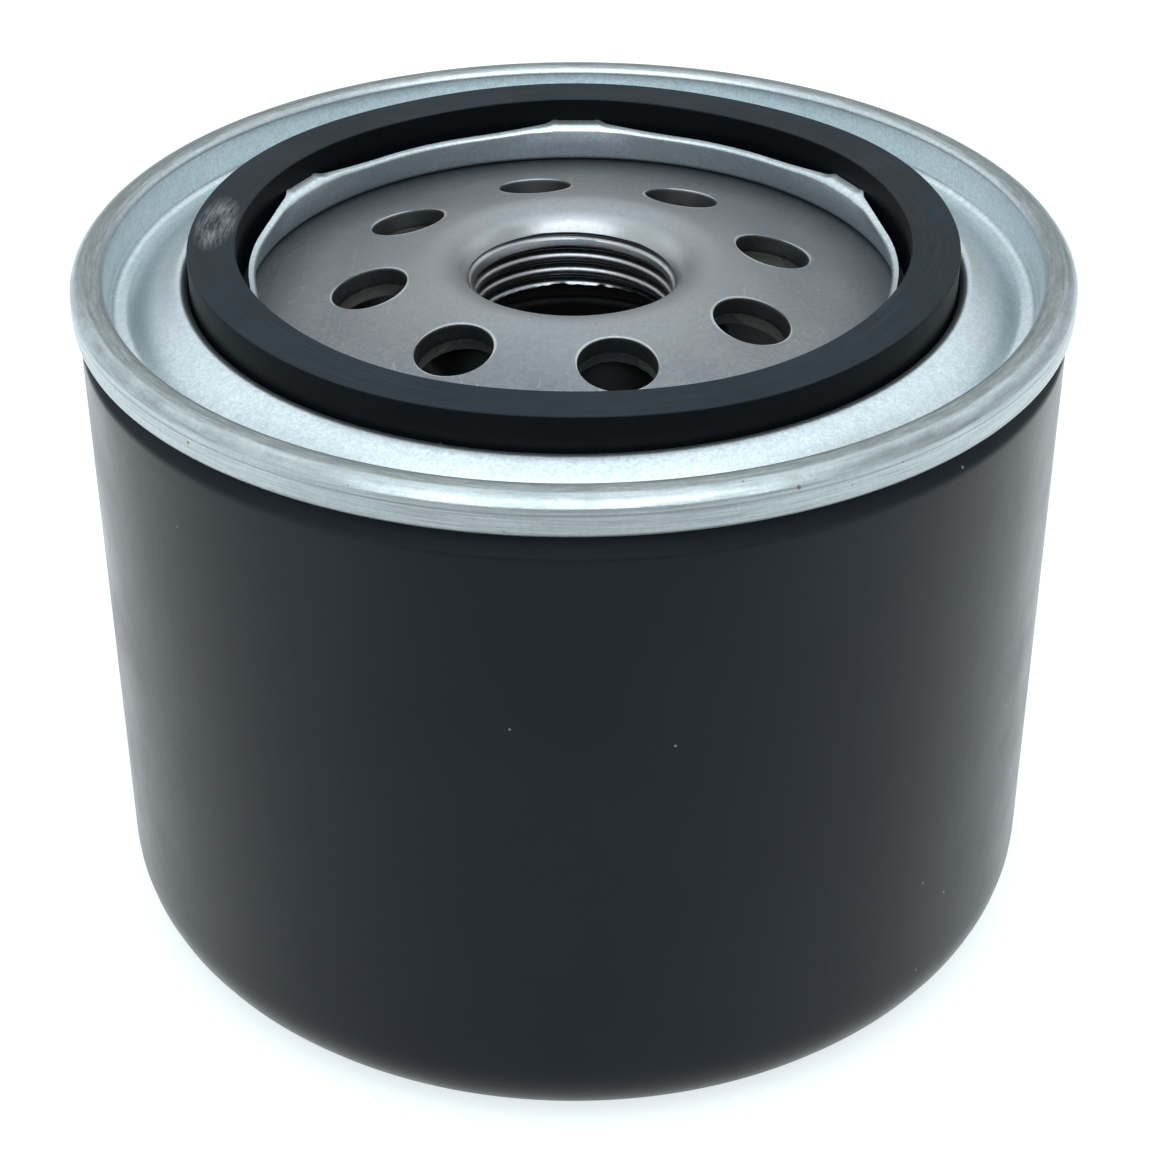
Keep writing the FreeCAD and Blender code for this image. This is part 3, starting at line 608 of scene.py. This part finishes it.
# Painted shade: the end caps, centre tube and seam clip sit in shade inside the can and are made
# near-black.
PAINTED_SHADE_STEEL = plain_metal("painted_shade_sheet", (0.016, 0.016, 0.017), (0.028, 0.028, 0.030), 0.60)
VALVE_METAL = plain_metal("passivated_steel", (0.42, 0.41, 0.36), (0.55, 0.52, 0.44), 0.32)
WIRE = plain_metal("spring_wire", (0.20, 0.20, 0.21), (0.30, 0.30, 0.31), 0.30, 3.0)
VALVE_RUBBER = soft_matter("valve_rubber", (0.004, 0.004, 0.005), (0.009, 0.009, 0.010), 0.65,
                           3.0, 0.01)
PAPER = soft_matter("filter_paper", (0.60, 0.42, 0.17), (0.74, 0.56, 0.28), 0.85, 4.0, 0.05)
GLUE = soft_matter("plastisol", (0.36, 0.07, 0.04), (0.48, 0.12, 0.07), 0.45, 0.8, 0.06)
SEALANT = soft_matter("sealing_compound", (0.24, 0.25, 0.26), (0.34, 0.35, 0.36), 0.6, 2.0, 0.02)


# ---------------------------------------------------------------- outside
HOOK = SEAM_RADIUS - 2 * LID_SHEET - CAN_SHEET - 2 * SEAM_GAP
CHUCK = HOOK - 2 * SEAM_GAP - CAN_SHEET - LID_SHEET
CAN_FOLD = SEAM_TOP - LID_SHEET - CAN_SHEET - 0.4 * MM
HOOK_ROOM = 0.2 * MM


def housing_can():
    """Deep-drawn can from the middle of its bottom to its hook inside the seam."""
    wall = HOOK - SEAM_GAP
    hook = SEAM_RADIUS - LID_SHEET - CAN_SHEET - SEAM_GAP
    panel = 22.0 * MM
    rise = 0.9 * MM
    section = sheet_section([
        (0, rise, 0),
        (panel - MM, rise, 1.3 * MM),
        (panel + MM, 0, 1.3 * MM),
        (CAN_RADIUS, 0, 8.0 * MM),
        (CAN_RADIUS, SEAM_BOTTOM - 2.1 * MM, 1.3 * MM),
        (wall, SEAM_BOTTOM, 1.3 * MM),
        (wall, CAN_FOLD, 0.35 * MM),
        (hook, CAN_FOLD, 0.35 * MM),
        (hook, SEAM_BOTTOM + LID_SHEET + HOOK_ROOM, 0),
    ], CAN_SHEET, 2.0 * MM)
    can = lathe("can_shell", section, closed=False)
    return finish_piece(can, "housing", ENAMEL, "painted_can", "housing_can")


def crimp_share(angle):
    """How strongly the lip is pushed outwards: 1 on the flat of a crimp, fading between them."""
    arc = np.abs(angle_from(angle, CRIMP_START, CRIMP_COUNT)) * 31.0
    return np.interp(
        arc,
        [0, 1.7, 2.2, 2.5, 3.0, 3.7, 5.0, 6.5, 8.2, 10.0],
        [0.96, 0.97, 1.06, 0.98, 0.70, 0.56, 0.38, 0.20, 0.07, 0],
    )


def seaming_lid():
    """Lid ring; its crimps push its lip out against the gasket."""
    groove_wall = GASKET_OUTER + 0.15 * MM
    section = sheet_section([
        (HOOK, CAN_FOLD - HOOK_ROOM, 0),
        (HOOK, SEAM_BOTTOM, 0.95 * MM),
        (SEAM_RADIUS, SEAM_BOTTOM, 0.95 * MM),
        (SEAM_RADIUS, SEAM_TOP - 1.15 * MM, 0.75 * MM),
        (SEAM_RADIUS - 0.6 * MM, SEAM_TOP - 0.1 * MM, 1.8 * MM),
        (CHUCK + 0.25 * MM, SEAM_TOP, 0.8 * MM),
        (CHUCK, GROOVE_FLOOR + 0.1 * MM, 0.9 * MM),
        (LEDGE_RADIUS, GROOVE_FLOOR + 0.1 * MM, 0.9 * MM),
        (SHOULDER_RADIUS, SHOULDER_TOP, 8.0 * MM),
        (groove_wall, CREST_TOP, 0.9 * MM),
        (groove_wall, GROOVE_FLOOR, 0.35 * MM),
        (LIP_OUTER, GROOVE_FLOOR, 0.35 * MM),
        (LIP_OUTER - LIP_LEAN, LIP_TOP, 0),
    ], LID_SHEET, 0.9 * MM, worn=0.3 * MM, step=COARSE_STEP)

    def crimped(radius, height, angle):
        on_lip = (radius < LIP_OUTER + 0.2 * MM) & (height > LIP_FOOT)
        climb = np.where(on_lip, (height - LIP_FOOT) / (LIP_TOP - LIP_FOOT), 0)
        share = crimp_share(angle)
        tipped = np.clip((share - 0.35) * 1.7, 0, 1)
        out = share * MM * climb ** (1.3 + 3.7 * tipped)
        up = 0.62 * share * MM * climb ** 2
        return radius + out, height + up

    def crowded(angle):
        """Twice as many segments at the crimps as elsewhere."""
        return angle - 0.5 / CRIMP_COUNT * np.sin(CRIMP_COUNT * (angle - CRIMP_START))

    lid = lathe("lid_ring", section, segments=LID_SEGMENTS, warp=crimped, sharp=40, crowd=crowded)
    return finish_piece(lid, "housing", ZINC, "zinc_sheet", "seaming_lid")


def sealing_gasket():
    """Square-section ring, pushed up slightly where the crimps hold it."""
    edge = 0.16 * MM
    section = subdivided(rounded([
        (GASKET_INNER, GROOVE_FLOOR, edge),
        (GASKET_OUTER, GROOVE_FLOOR, edge),
        (GASKET_OUTER, GASKET_TOP, edge),
        (GASKET_INNER, GASKET_TOP, edge),
    ], closed=True), 0.6 * MM, closed=True)

    def wavy(radius, height, angle):
        climb = (height - GROOVE_FLOOR) / (GASKET_TOP - GROOVE_FLOOR)
        lobes = np.cos(CRIMP_COUNT * (angle - CRIMP_START))
        drift = 0.06 * np.sin(2 * angle + 0.7) + 0.04 * np.sin(3 * angle + 2.1)
        return radius + 0.04 * MM * drift * climb, height + (0.1 * lobes + drift) * MM * climb ** 2

    ring = lathe("gasket_ring", section, warp=wavy, sharp=50)
    return finish_piece(ring, "housing", GASKET, "gasket_rubber", "sealing_gasket")


def mouth_radius(height):
    """Radius of the rounded mouth at a height; below it the bore has the thread's crest radius."""
    climb = np.clip((height - mouth_foot()) / MOUTH_BEND, 0, 1)
    return THREAD_CREST + MOUTH_BEND * (1 - np.sqrt(1 - climb ** 2))


def torn_edge(angle):
    """Height of the neck's lower edge, uneven where the metal tore."""
    waves = ((3, 0.4, 0.07), (7, 1.9, 0.05), (13, 4.0, 0.05), (29, 2.2, 0.04), (47, 5.1, 0.03))
    uneven = sum(size * np.sin(k * angle + start) for k, start, size in waves)
    return PLATE_LOW.z + 0.15 * MM + MM * uneven


def thread_rows():
    """One turn's section of the thread as (height in the pitch, depth), from crest to crest."""
    flank = THREAD_DEPTH * math.tan(math.radians(30))
    root = 0.19 * MM
    crest = (THREAD_PITCH - root - 2 * flank) / 2
    line = rounded([
        (0, 0, 0),
        (crest, 0, 0.42 * MM),
        (crest + flank, THREAD_DEPTH, 0.07 * MM),
        (crest + flank + root, THREAD_DEPTH, 0.07 * MM),
        (crest + 2 * flank + root, 0, 0.25 * MM),
        (THREAD_PITCH, 0, 0),
    ], step=COARSE_STEP)
    return subdivided(line, 0.15 * MM)[:-1]


def threaded_bore():
    """Points and faces of the bore's wall; its rows climb with the thread."""
    segments = ROUND_SEGMENTS
    turn_rows = thread_rows()
    turns = math.ceil((THREAD_TOP - PLATE_LOW.z) / THREAD_PITCH) + 2
    rise = np.concatenate([turn_rows[:, 0] + k * THREAD_PITCH for k in range(turns)])
    depth = np.tile(turn_rows[:, 1], turns)
    angle = np.arange(segments) * TURN / segments
    first = math.floor(PLATE_LOW.z / THREAD_PITCH - 1) * THREAD_PITCH + THREAD_START
    height = first + rise[:, None] + THREAD_PITCH * angle / TURN
    height = np.clip(height, torn_edge(angle), THREAD_TOP)
    inside = (height > torn_edge(angle)) & (height < THREAD_TOP)
    cut = THREAD_CREST + np.where(inside, depth[:, None], 0)
    radius = np.maximum(cut, mouth_radius(height))
    across = np.stack([radius * np.cos(angle), radius * np.sin(angle), height], 2)
    rows = len(rise)
    faces = []
    for i in range(segments):
        k = (i + 1) % segments
        shift = len(turn_rows) if k == 0 else 0
        for j in range(rows - 1 - shift):
            a, b = j * segments, (j + shift) * segments
            faces.append((a + i, b + k, b + segments + k, a + segments + i))
    return across.reshape(-1, 3).tolist(), faces


def plate_outline():
    """Outline of the plate from the bore's lower edge, round the outside, to the top of the thread."""
    under = PLATE_SHEET
    full = subdivided(rounded([
        (THREAD_CREST, THREAD_TOP - 6.0 * MM, 0),
        (THREAD_CREST, PLATE_LOW.z, 0),
        (NECK_RADIUS, PLATE_LOW.z, 0.3 * MM),
        (NECK_RADIUS, NECK_CORNER, 1.3 * MM),
        (RIM_INNER - 0.35 * MM, RIM_TOP - under, 6 * MM),
        (PLATE_RADIUS, RIM_TOP - under, 0.3 * MM),
        (PLATE_RADIUS, RIM_TOP, 0.3 * MM),
        (RIM_INNER, RIM_TOP, 6 * MM),
        (THREAD_CREST, MOUTH_CORNER, MOUTH_BEND),
        (THREAD_CREST, PLATE_LOW.z + MM, 0),
    ]), 0.9 * MM)
    start = 1 + np.argmin(full[:, 1] + full[:, 0])
    inner = np.flatnonzero((full[:, 0] < 11 * MM) & (full[:, 1] > THREAD_TOP))
    mouth = (float(mouth_radius(THREAD_TOP)), THREAD_TOP)
    return np.vstack([[(THREAD_CREST, PLATE_LOW.z)], full[start:inner[-1] + 1], [mouth]])


def tapping_plate():
    """Domed plate with a cut thread in its neck and eight punched holes."""
    def torn(radius, height, angle):
        low = np.clip((PLATE_LOW.z + 1.2 * MM - height) / MM, 0, 1)
        share = np.where(radius < NECK_RADIUS + 0.1 * MM, low, 0)
        return radius, height + share * (torn_edge(angle) - PLATE_LOW.z)

    ring, ring_faces = turned_mesh(plate_outline(), closed=False, warp=torn)
    bore, bore_faces = threaded_bore()
    faces = ring_faces + [tuple(len(ring) + corner for corner in face) for face in bore_faces]
    plate = new_object("plate_body", ring + bore, faces, 38, welded=True)
    cutter = inlet_cutter()
    cut = plate.modifiers.new("holes", "BOOLEAN")
    cut.object = cutter
    cut.operation = "DIFFERENCE"
    cut.solver = "EXACT"
    bpy.context.view_layer.objects.active = plate
    bpy.ops.object.modifier_apply(modifier=cut.name)
    bpy.data.objects.remove(cutter)
    plate.data.set_sharp_from_angle(angle=math.radians(38))
    return finish_piece(plate, "housing", PLATE, "plate_steel", "tapping_plate")


def punch_mesh(number):
    """Points and faces of one punch: a slightly rounded entry, a smooth band, a rough break-out."""
    reach = INLET_RADIUS + 1.2 * MM
    profile = rounded([
        (0, -4.6 * MM, 0),
        (INLET_RADIUS + 0.22 * MM, -4.6 * MM, 0),
        (INLET_RADIUS + 0.14 * MM, -2.15 * MM, 0),
        (INLET_RADIUS, -1.85 * MM, 0),
        (INLET_RADIUS, 0.01 * MM, 0.14 * MM),
        (reach, 0.01 * MM, 0),
        (reach, 2.0 * MM, 0),
        (0, 2.0 * MM, 0),
    ])
    profile = subdivided(profile, 0.5 * MM)
    rng = np.random.default_rng(number + 5)
    waves = [(k, rng.uniform(0, TURN), rng.uniform(0.3, 1)) for k in (5, 9, 14, 22, 31)]

    def broken(radius, height, angle):
        rough = sum(size * np.sin(k * angle + start) for k, start, size in waves) / 3
        share = np.where((height < -1.6 * MM) & (radius > INLET_RADIUS * 0.9), 1.0, 0.0)
        return radius + 0.05 * MM * rough * share, height + 0.12 * MM * rough * share

    return turned_mesh(profile, closed=False, segments=PUNCH_SEGMENTS, warp=broken)


def inlet_cutter():
    """All the punches in one object, standing square to the plate's cone."""
    slope = (MOUTH_CORNER - RIM_TOP) / (RIM_INNER - THREAD_CREST)
    height = RIM_TOP + slope * (RIM_INNER - INLET_CIRCLE)
    lean = Matrix.Rotation(math.atan(slope), 4, "Y")
    points, faces = [], []
    for i in range(INLET_COUNT):
        turn = Matrix.Rotation(INLET_START - i * TURN / INLET_COUNT, 4, "Z")
        place = turn @ Matrix.Translation((INLET_CIRCLE, 0, height)) @ lean
        shape, sides = punch_mesh(i)
        faces += [tuple(len(points) + corner for corner in side) for side in sides]
        points += [place @ Vector(point) for point in shape]
    return new_object("punches", points, faces)


# ---------------------------------------------------------------- inside
def drainback_valve():
    """Rubber diaphragm; its lip comes down towards the collar's foot."""
    low, high = VALVE_LOW.z, VALVE_HIGH.z
    inner = 12.3 * MM
    lip_top = 61.4 * MM
    section = subdivided(rounded([
        (inner, low, 0.25 * MM),
        (14.6 * MM, low, 0.25 * MM),
        (14.6 * MM, low + 0.8 * MM, 0.4 * MM),
        (24.0 * MM, low + 0.8 * MM, 1.6 * MM),
        (VALVE_HIGH.x, lip_top, 0.18 * MM),
        (VALVE_HIGH.x - 0.8 * MM, lip_top, 0.18 * MM),
        (23.4 * MM, low + 1.9 * MM, 1.4 * MM),
        (14.6 * MM, low + 1.9 * MM, 0.8 * MM),
        (14.0 * MM, high, 0.3 * MM),
        (inner, high, 0.3 * MM),
    ], closed=True), 0.5 * MM, closed=True)
    valve = lathe("drainback_diaphragm", section, segments=VALVE_SEGMENTS, sharp=60)
    finish_piece(valve, "housing", VALVE_RUBBER, "valve_rubber", "anti_drainback_valve")
    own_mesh(valve)
    return valve


def coil_spring(name, node, wire, bottom_radius, top_radius, turns):
    """Round-wire coil with a flattened turn at each end."""
    low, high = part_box(node)
    bottom, top = low.z + wire / 2, high.z - wire / 2
    steps = int(turns * 64)
    share = np.linspace(0, 1, steps + 1)
    climb = share * share * (3 - 2 * share)
    climb = 0.55 * climb + 0.45 * share
    radius = bottom_radius + (top_radius - bottom_radius) * share
    angle = share * turns * TURN
    height = bottom + (top - bottom) * climb
    centres = np.stack([radius * np.cos(angle), radius * np.sin(angle), height], 1)
    return swept_round(name, centres, wire / 2)


def springs():
    """Support spring under the element and the spring of the bypass valve."""
    support = coil_spring("support_coil", "support_spring", 1.8 * MM, 19.0 * MM, 14.2 * MM, 2.5)
    finish_piece(support, "housing", WIRE, "spring_steel", "support_spring")
    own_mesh(support)

    bypass = coil_spring("bypass_coil", "bypass_spring", 1.0 * MM, 6.3 * MM, 6.3 * MM, 4.5)
    finish_piece(bypass, "element", WIRE, "spring_steel", "bypass_spring")
    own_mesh(bypass)


def pleat_line():
    """Middle line of the pleats with rounded folds."""
    outer, inner = (39.4 * MM, 1.7 * MM), (18.2 * MM, 1.25 * MM)
    corners = []
    for i in range(2 * PLEAT_COUNT):
        radius, width = outer if i % 2 == 0 else inner
        turn = i * math.pi / PLEAT_COUNT
        c, s = math.cos(turn), math.sin(turn)
        for side in (-0.5, 0.5):
            corners.append((radius * c - side * width * s, radius * s + side * width * c, width * 0.42))
    return rounded(corners, closed=True)


def pleated_media():
    """Pleated paper with rounded folds and a slight wave up the leaves."""
    middle = pleat_line()
    along = np.roll(middle, -1, 0) - np.roll(middle, 1, 0)
    along /= np.linalg.norm(along, axis=1)[:, None]
    normal = np.stack([along[:, 1], -along[:, 0]], 1)
    outline = [middle + normal * PAPER_THICKNESS / 2, middle - normal * PAPER_THICKNESS / 2]
    levels = np.linspace(MEDIA_LOW.z, MEDIA_HIGH.z, 23)
    count = len(middle)
    radius = np.linalg.norm(middle, axis=1)
    points = []
    for line in outline:
        for z in levels:
            share = (z - MEDIA_LOW.z) / (MEDIA_HIGH.z - MEDIA_LOW.z)
            free = math.sin(math.pi * share)
            lean = 0.06 * MM * free * np.sin(9 * share * math.pi + radius * 400)
            moved = line + normal * lean[:, None]
            points += [(float(x), float(y), float(z)) for x, y in moved]
    faces = []
    rows = len(levels)
    for side in range(2):
        base = side * rows * count
        for j in range(rows - 1):
            for i in range(count):
                k = (i + 1) % count
                faces.append((base + j * count + i, base + j * count + k,
                              base + (j + 1) * count + k, base + (j + 1) * count + i))
    for j in (0, rows - 1):
        for i in range(count):
            k = (i + 1) % count
            outer, inner = j * count, rows * count + j * count
            faces.append((outer + i, outer + k, inner + k, inner + i))
    paper = new_object("pleated_paper", points, faces, 60)
    return finish_piece(paper, "element", PAPER, "paper", "pleated_media")


CAD_MATERIALS = {
    "seam_sealant": SEALANT,
    "upper_end_cap": PAINTED_SHADE_STEEL,
    "lower_end_cap": PAINTED_SHADE_STEEL,
    "centre_tube": PAINTED_SHADE_STEEL,
    "media_seam_clip": PAINTED_SHADE_STEEL,
    "upper_potting": GLUE,
    "lower_potting": GLUE,
    "bypass_seat": VALVE_METAL,
    "bypass_cage": VALVE_METAL,
    "bypass_disc": VALVE_METAL,
    "bypass_stem": VALVE_METAL,
    "bypass_seal": VALVE_RUBBER,
    "spring_seat": VALVE_METAL,
}


def dress_cad_nodes():
    """Give the kept CAD nodes their procedural materials."""
    for name, material in CAD_MATERIALS.items():
        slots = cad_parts[name].material_slots
        for slot in slots:
            slot.material = material


# ---------------------------------------------------------------- studio
class Shades:
    """Short calls for the numbers that the floor's and the room's brightness is made of."""

    def __init__(self, tree):
        self.tree = tree

    def put(self, value, socket):
        if isinstance(value, (int, float)):
            socket.default_value = value
        else:
            self.tree.links.new(value, socket)

    def math(self, operation, a, b=0.0):
        made = self.tree.nodes.new("ShaderNodeMath")
        made.operation = operation
        self.put(a, made.inputs[0])
        self.put(b, made.inputs[1])
        return made.outputs[0]

    def ramp(self, value, low, high, to_low, to_high):
        made = self.tree.nodes.new("ShaderNodeMapRange")
        made.interpolation_type = "SMOOTHSTEP"
        for part, socket in zip((value, low, high, to_low, to_high), made.inputs):
            self.put(part, socket)
        return made.outputs["Result"]

    def direction(self):
        """X, Y and Z of the direction looked in, or of the place on the floor."""
        coordinates = self.tree.nodes.new("ShaderNodeTexCoord")
        parts = self.tree.nodes.new("ShaderNodeSeparateXYZ")
        self.tree.links.new(coordinates.outputs["Generated"], parts.inputs[0])
        return parts.outputs

    def for_camera(self, seen, else_):
        """One number for what the camera sees and another for reflections and light."""
        path = self.tree.nodes.new("ShaderNodeLightPath")
        made = self.tree.nodes.new("ShaderNodeMix")
        self.tree.links.new(path.outputs["Is Camera Ray"], made.inputs["Factor"])
        self.put(else_, made.inputs["A"])
        self.put(seen, made.inputs["B"])
        return made.outputs["Result"]


def floor():
    """Pale glowing floor, large enough to fill every view; its front is dimmer in reflections."""
    mesh = bpy.data.meshes.new("floor")
    reach = 6.0
    mesh.from_pydata([(-reach, -reach, 0), (reach, -reach, 0), (reach, reach, 0), (-reach, reach, 0)],
                     [], [(0, 1, 2, 3)])
    plane = bpy.data.objects.new("floor", mesh)
    bpy.context.scene.collection.objects.link(plane)
    material = bpy.data.materials.new("pale_floor")
    material.use_nodes = True
    shader = material.node_tree.nodes["Principled BSDF"]
    shader.inputs["Base Color"].default_value = (0.45, 0.45, 0.45, 1)
    shader.inputs["Roughness"].default_value = 0.9
    shader.inputs["Specular IOR Level"].default_value = 0.0
    shader.inputs["Emission Color"].default_value = (*TINT, 1)
    shades = Shades(material.node_tree)
    x, y, _ = shades.direction()
    sideways = shades.math("ABSOLUTE", shades.math("SUBTRACT", x, 0.5))
    forward = shades.math("SUBTRACT", 0.5, y)
    front = shades.math("SUBTRACT", forward, sideways)
    glow = shades.ramp(front, -0.02, 0.02, FLOOR_SIDES, FLOOR_FRONT)
    shades.put(shades.for_camera(FLOOR_SEEN, glow), shader.inputs["Emission Strength"])
    mesh.materials.append(material)


def area_light(name, place, aim, width, height, power, color):
    """Soft rectangular light that looks at a point."""
    lamp = bpy.data.lights.new(name, "AREA")
    lamp.shape = "RECTANGLE"
    lamp.size = width
    lamp.size_y = height
    lamp.energy = power
    lamp.color = color
    thing = bpy.data.objects.new(name, lamp)
    thing.location = place
    thing.rotation_euler = (Vector(aim) - Vector(place)).to_track_quat("-Z", "Y").to_euler()
    bpy.context.scene.collection.objects.link(thing)
    return thing


FLOOR_SEEN = 0.72
FLOOR_FRONT = 0.12
FLOOR_SIDES = 0.85
ROOM_SEEN = 0.97
TINT = (0.90, 0.97, 1.0)


def studio():
    """Soft room: brightest high in front, bright above and high at the back, dim near the horizon."""
    area_light("front_window", (0, -0.42, 0.50), (0, 0, 0.07), 0.90, 0.45, 3.0, TINT)
    world = bpy.data.worlds.new("studio")
    bpy.context.scene.world = world
    world.use_nodes = True
    background = world.node_tree.nodes["Background"]
    shades = Shades(world.node_tree)
    x, y, z = shades.direction()
    zenith = shades.ramp(z, 0.72, 0.92, 0.0, 1.7)
    high = shades.math("MULTIPLY", shades.ramp(z, 0.30, 0.50, 0, 1),
                       shades.ramp(y, -0.05, 0.40, 0, 1.4))
    left = shades.ramp(x, -0.30, -0.75, 0.0, 1.05)
    right = shades.ramp(x, 0.30, 0.75, 0.0, 0.75)
    glow = shades.math("MAXIMUM", shades.math("MAXIMUM", zenith, high),
                       shades.math("MAXIMUM", left, right))
    glow = shades.math("MAXIMUM", glow, 0.30)
    shades.put(shades.for_camera(ROOM_SEEN, glow), background.inputs["Strength"])
    background.inputs["Color"].default_value = (*TINT, 1)


def camera():
    """Camera at the viewing angle of the reference: 33 degrees down, a quarter of a metre away."""
    lens = bpy.data.cameras.new("camera")
    lens.sensor_width = 36.0
    lens.lens = 81.25
    lens.clip_start = 0.01
    eye = bpy.data.objects.new("camera", lens)
    pitch, yaw, roll = 0.5700, 0.0007, -0.0021
    turn = (Matrix.Rotation(-yaw, 4, "Z") @ Matrix.Rotation(math.pi / 2 - pitch, 4, "X")
            @ Matrix.Rotation(roll, 4, "Z"))
    eye.matrix_world = Matrix.Translation((0, -0.2206, 0.1737)) @ turn
    bpy.context.scene.collection.objects.link(eye)
    bpy.context.scene.camera = eye


housing_can()
seaming_lid()
sealing_gasket()
tapping_plate()
drainback_valve()
springs()
pleated_media()
dress_cad_nodes()
floor()
studio()
camera()
bpy.context.scene.view_settings.view_transform = "Standard"
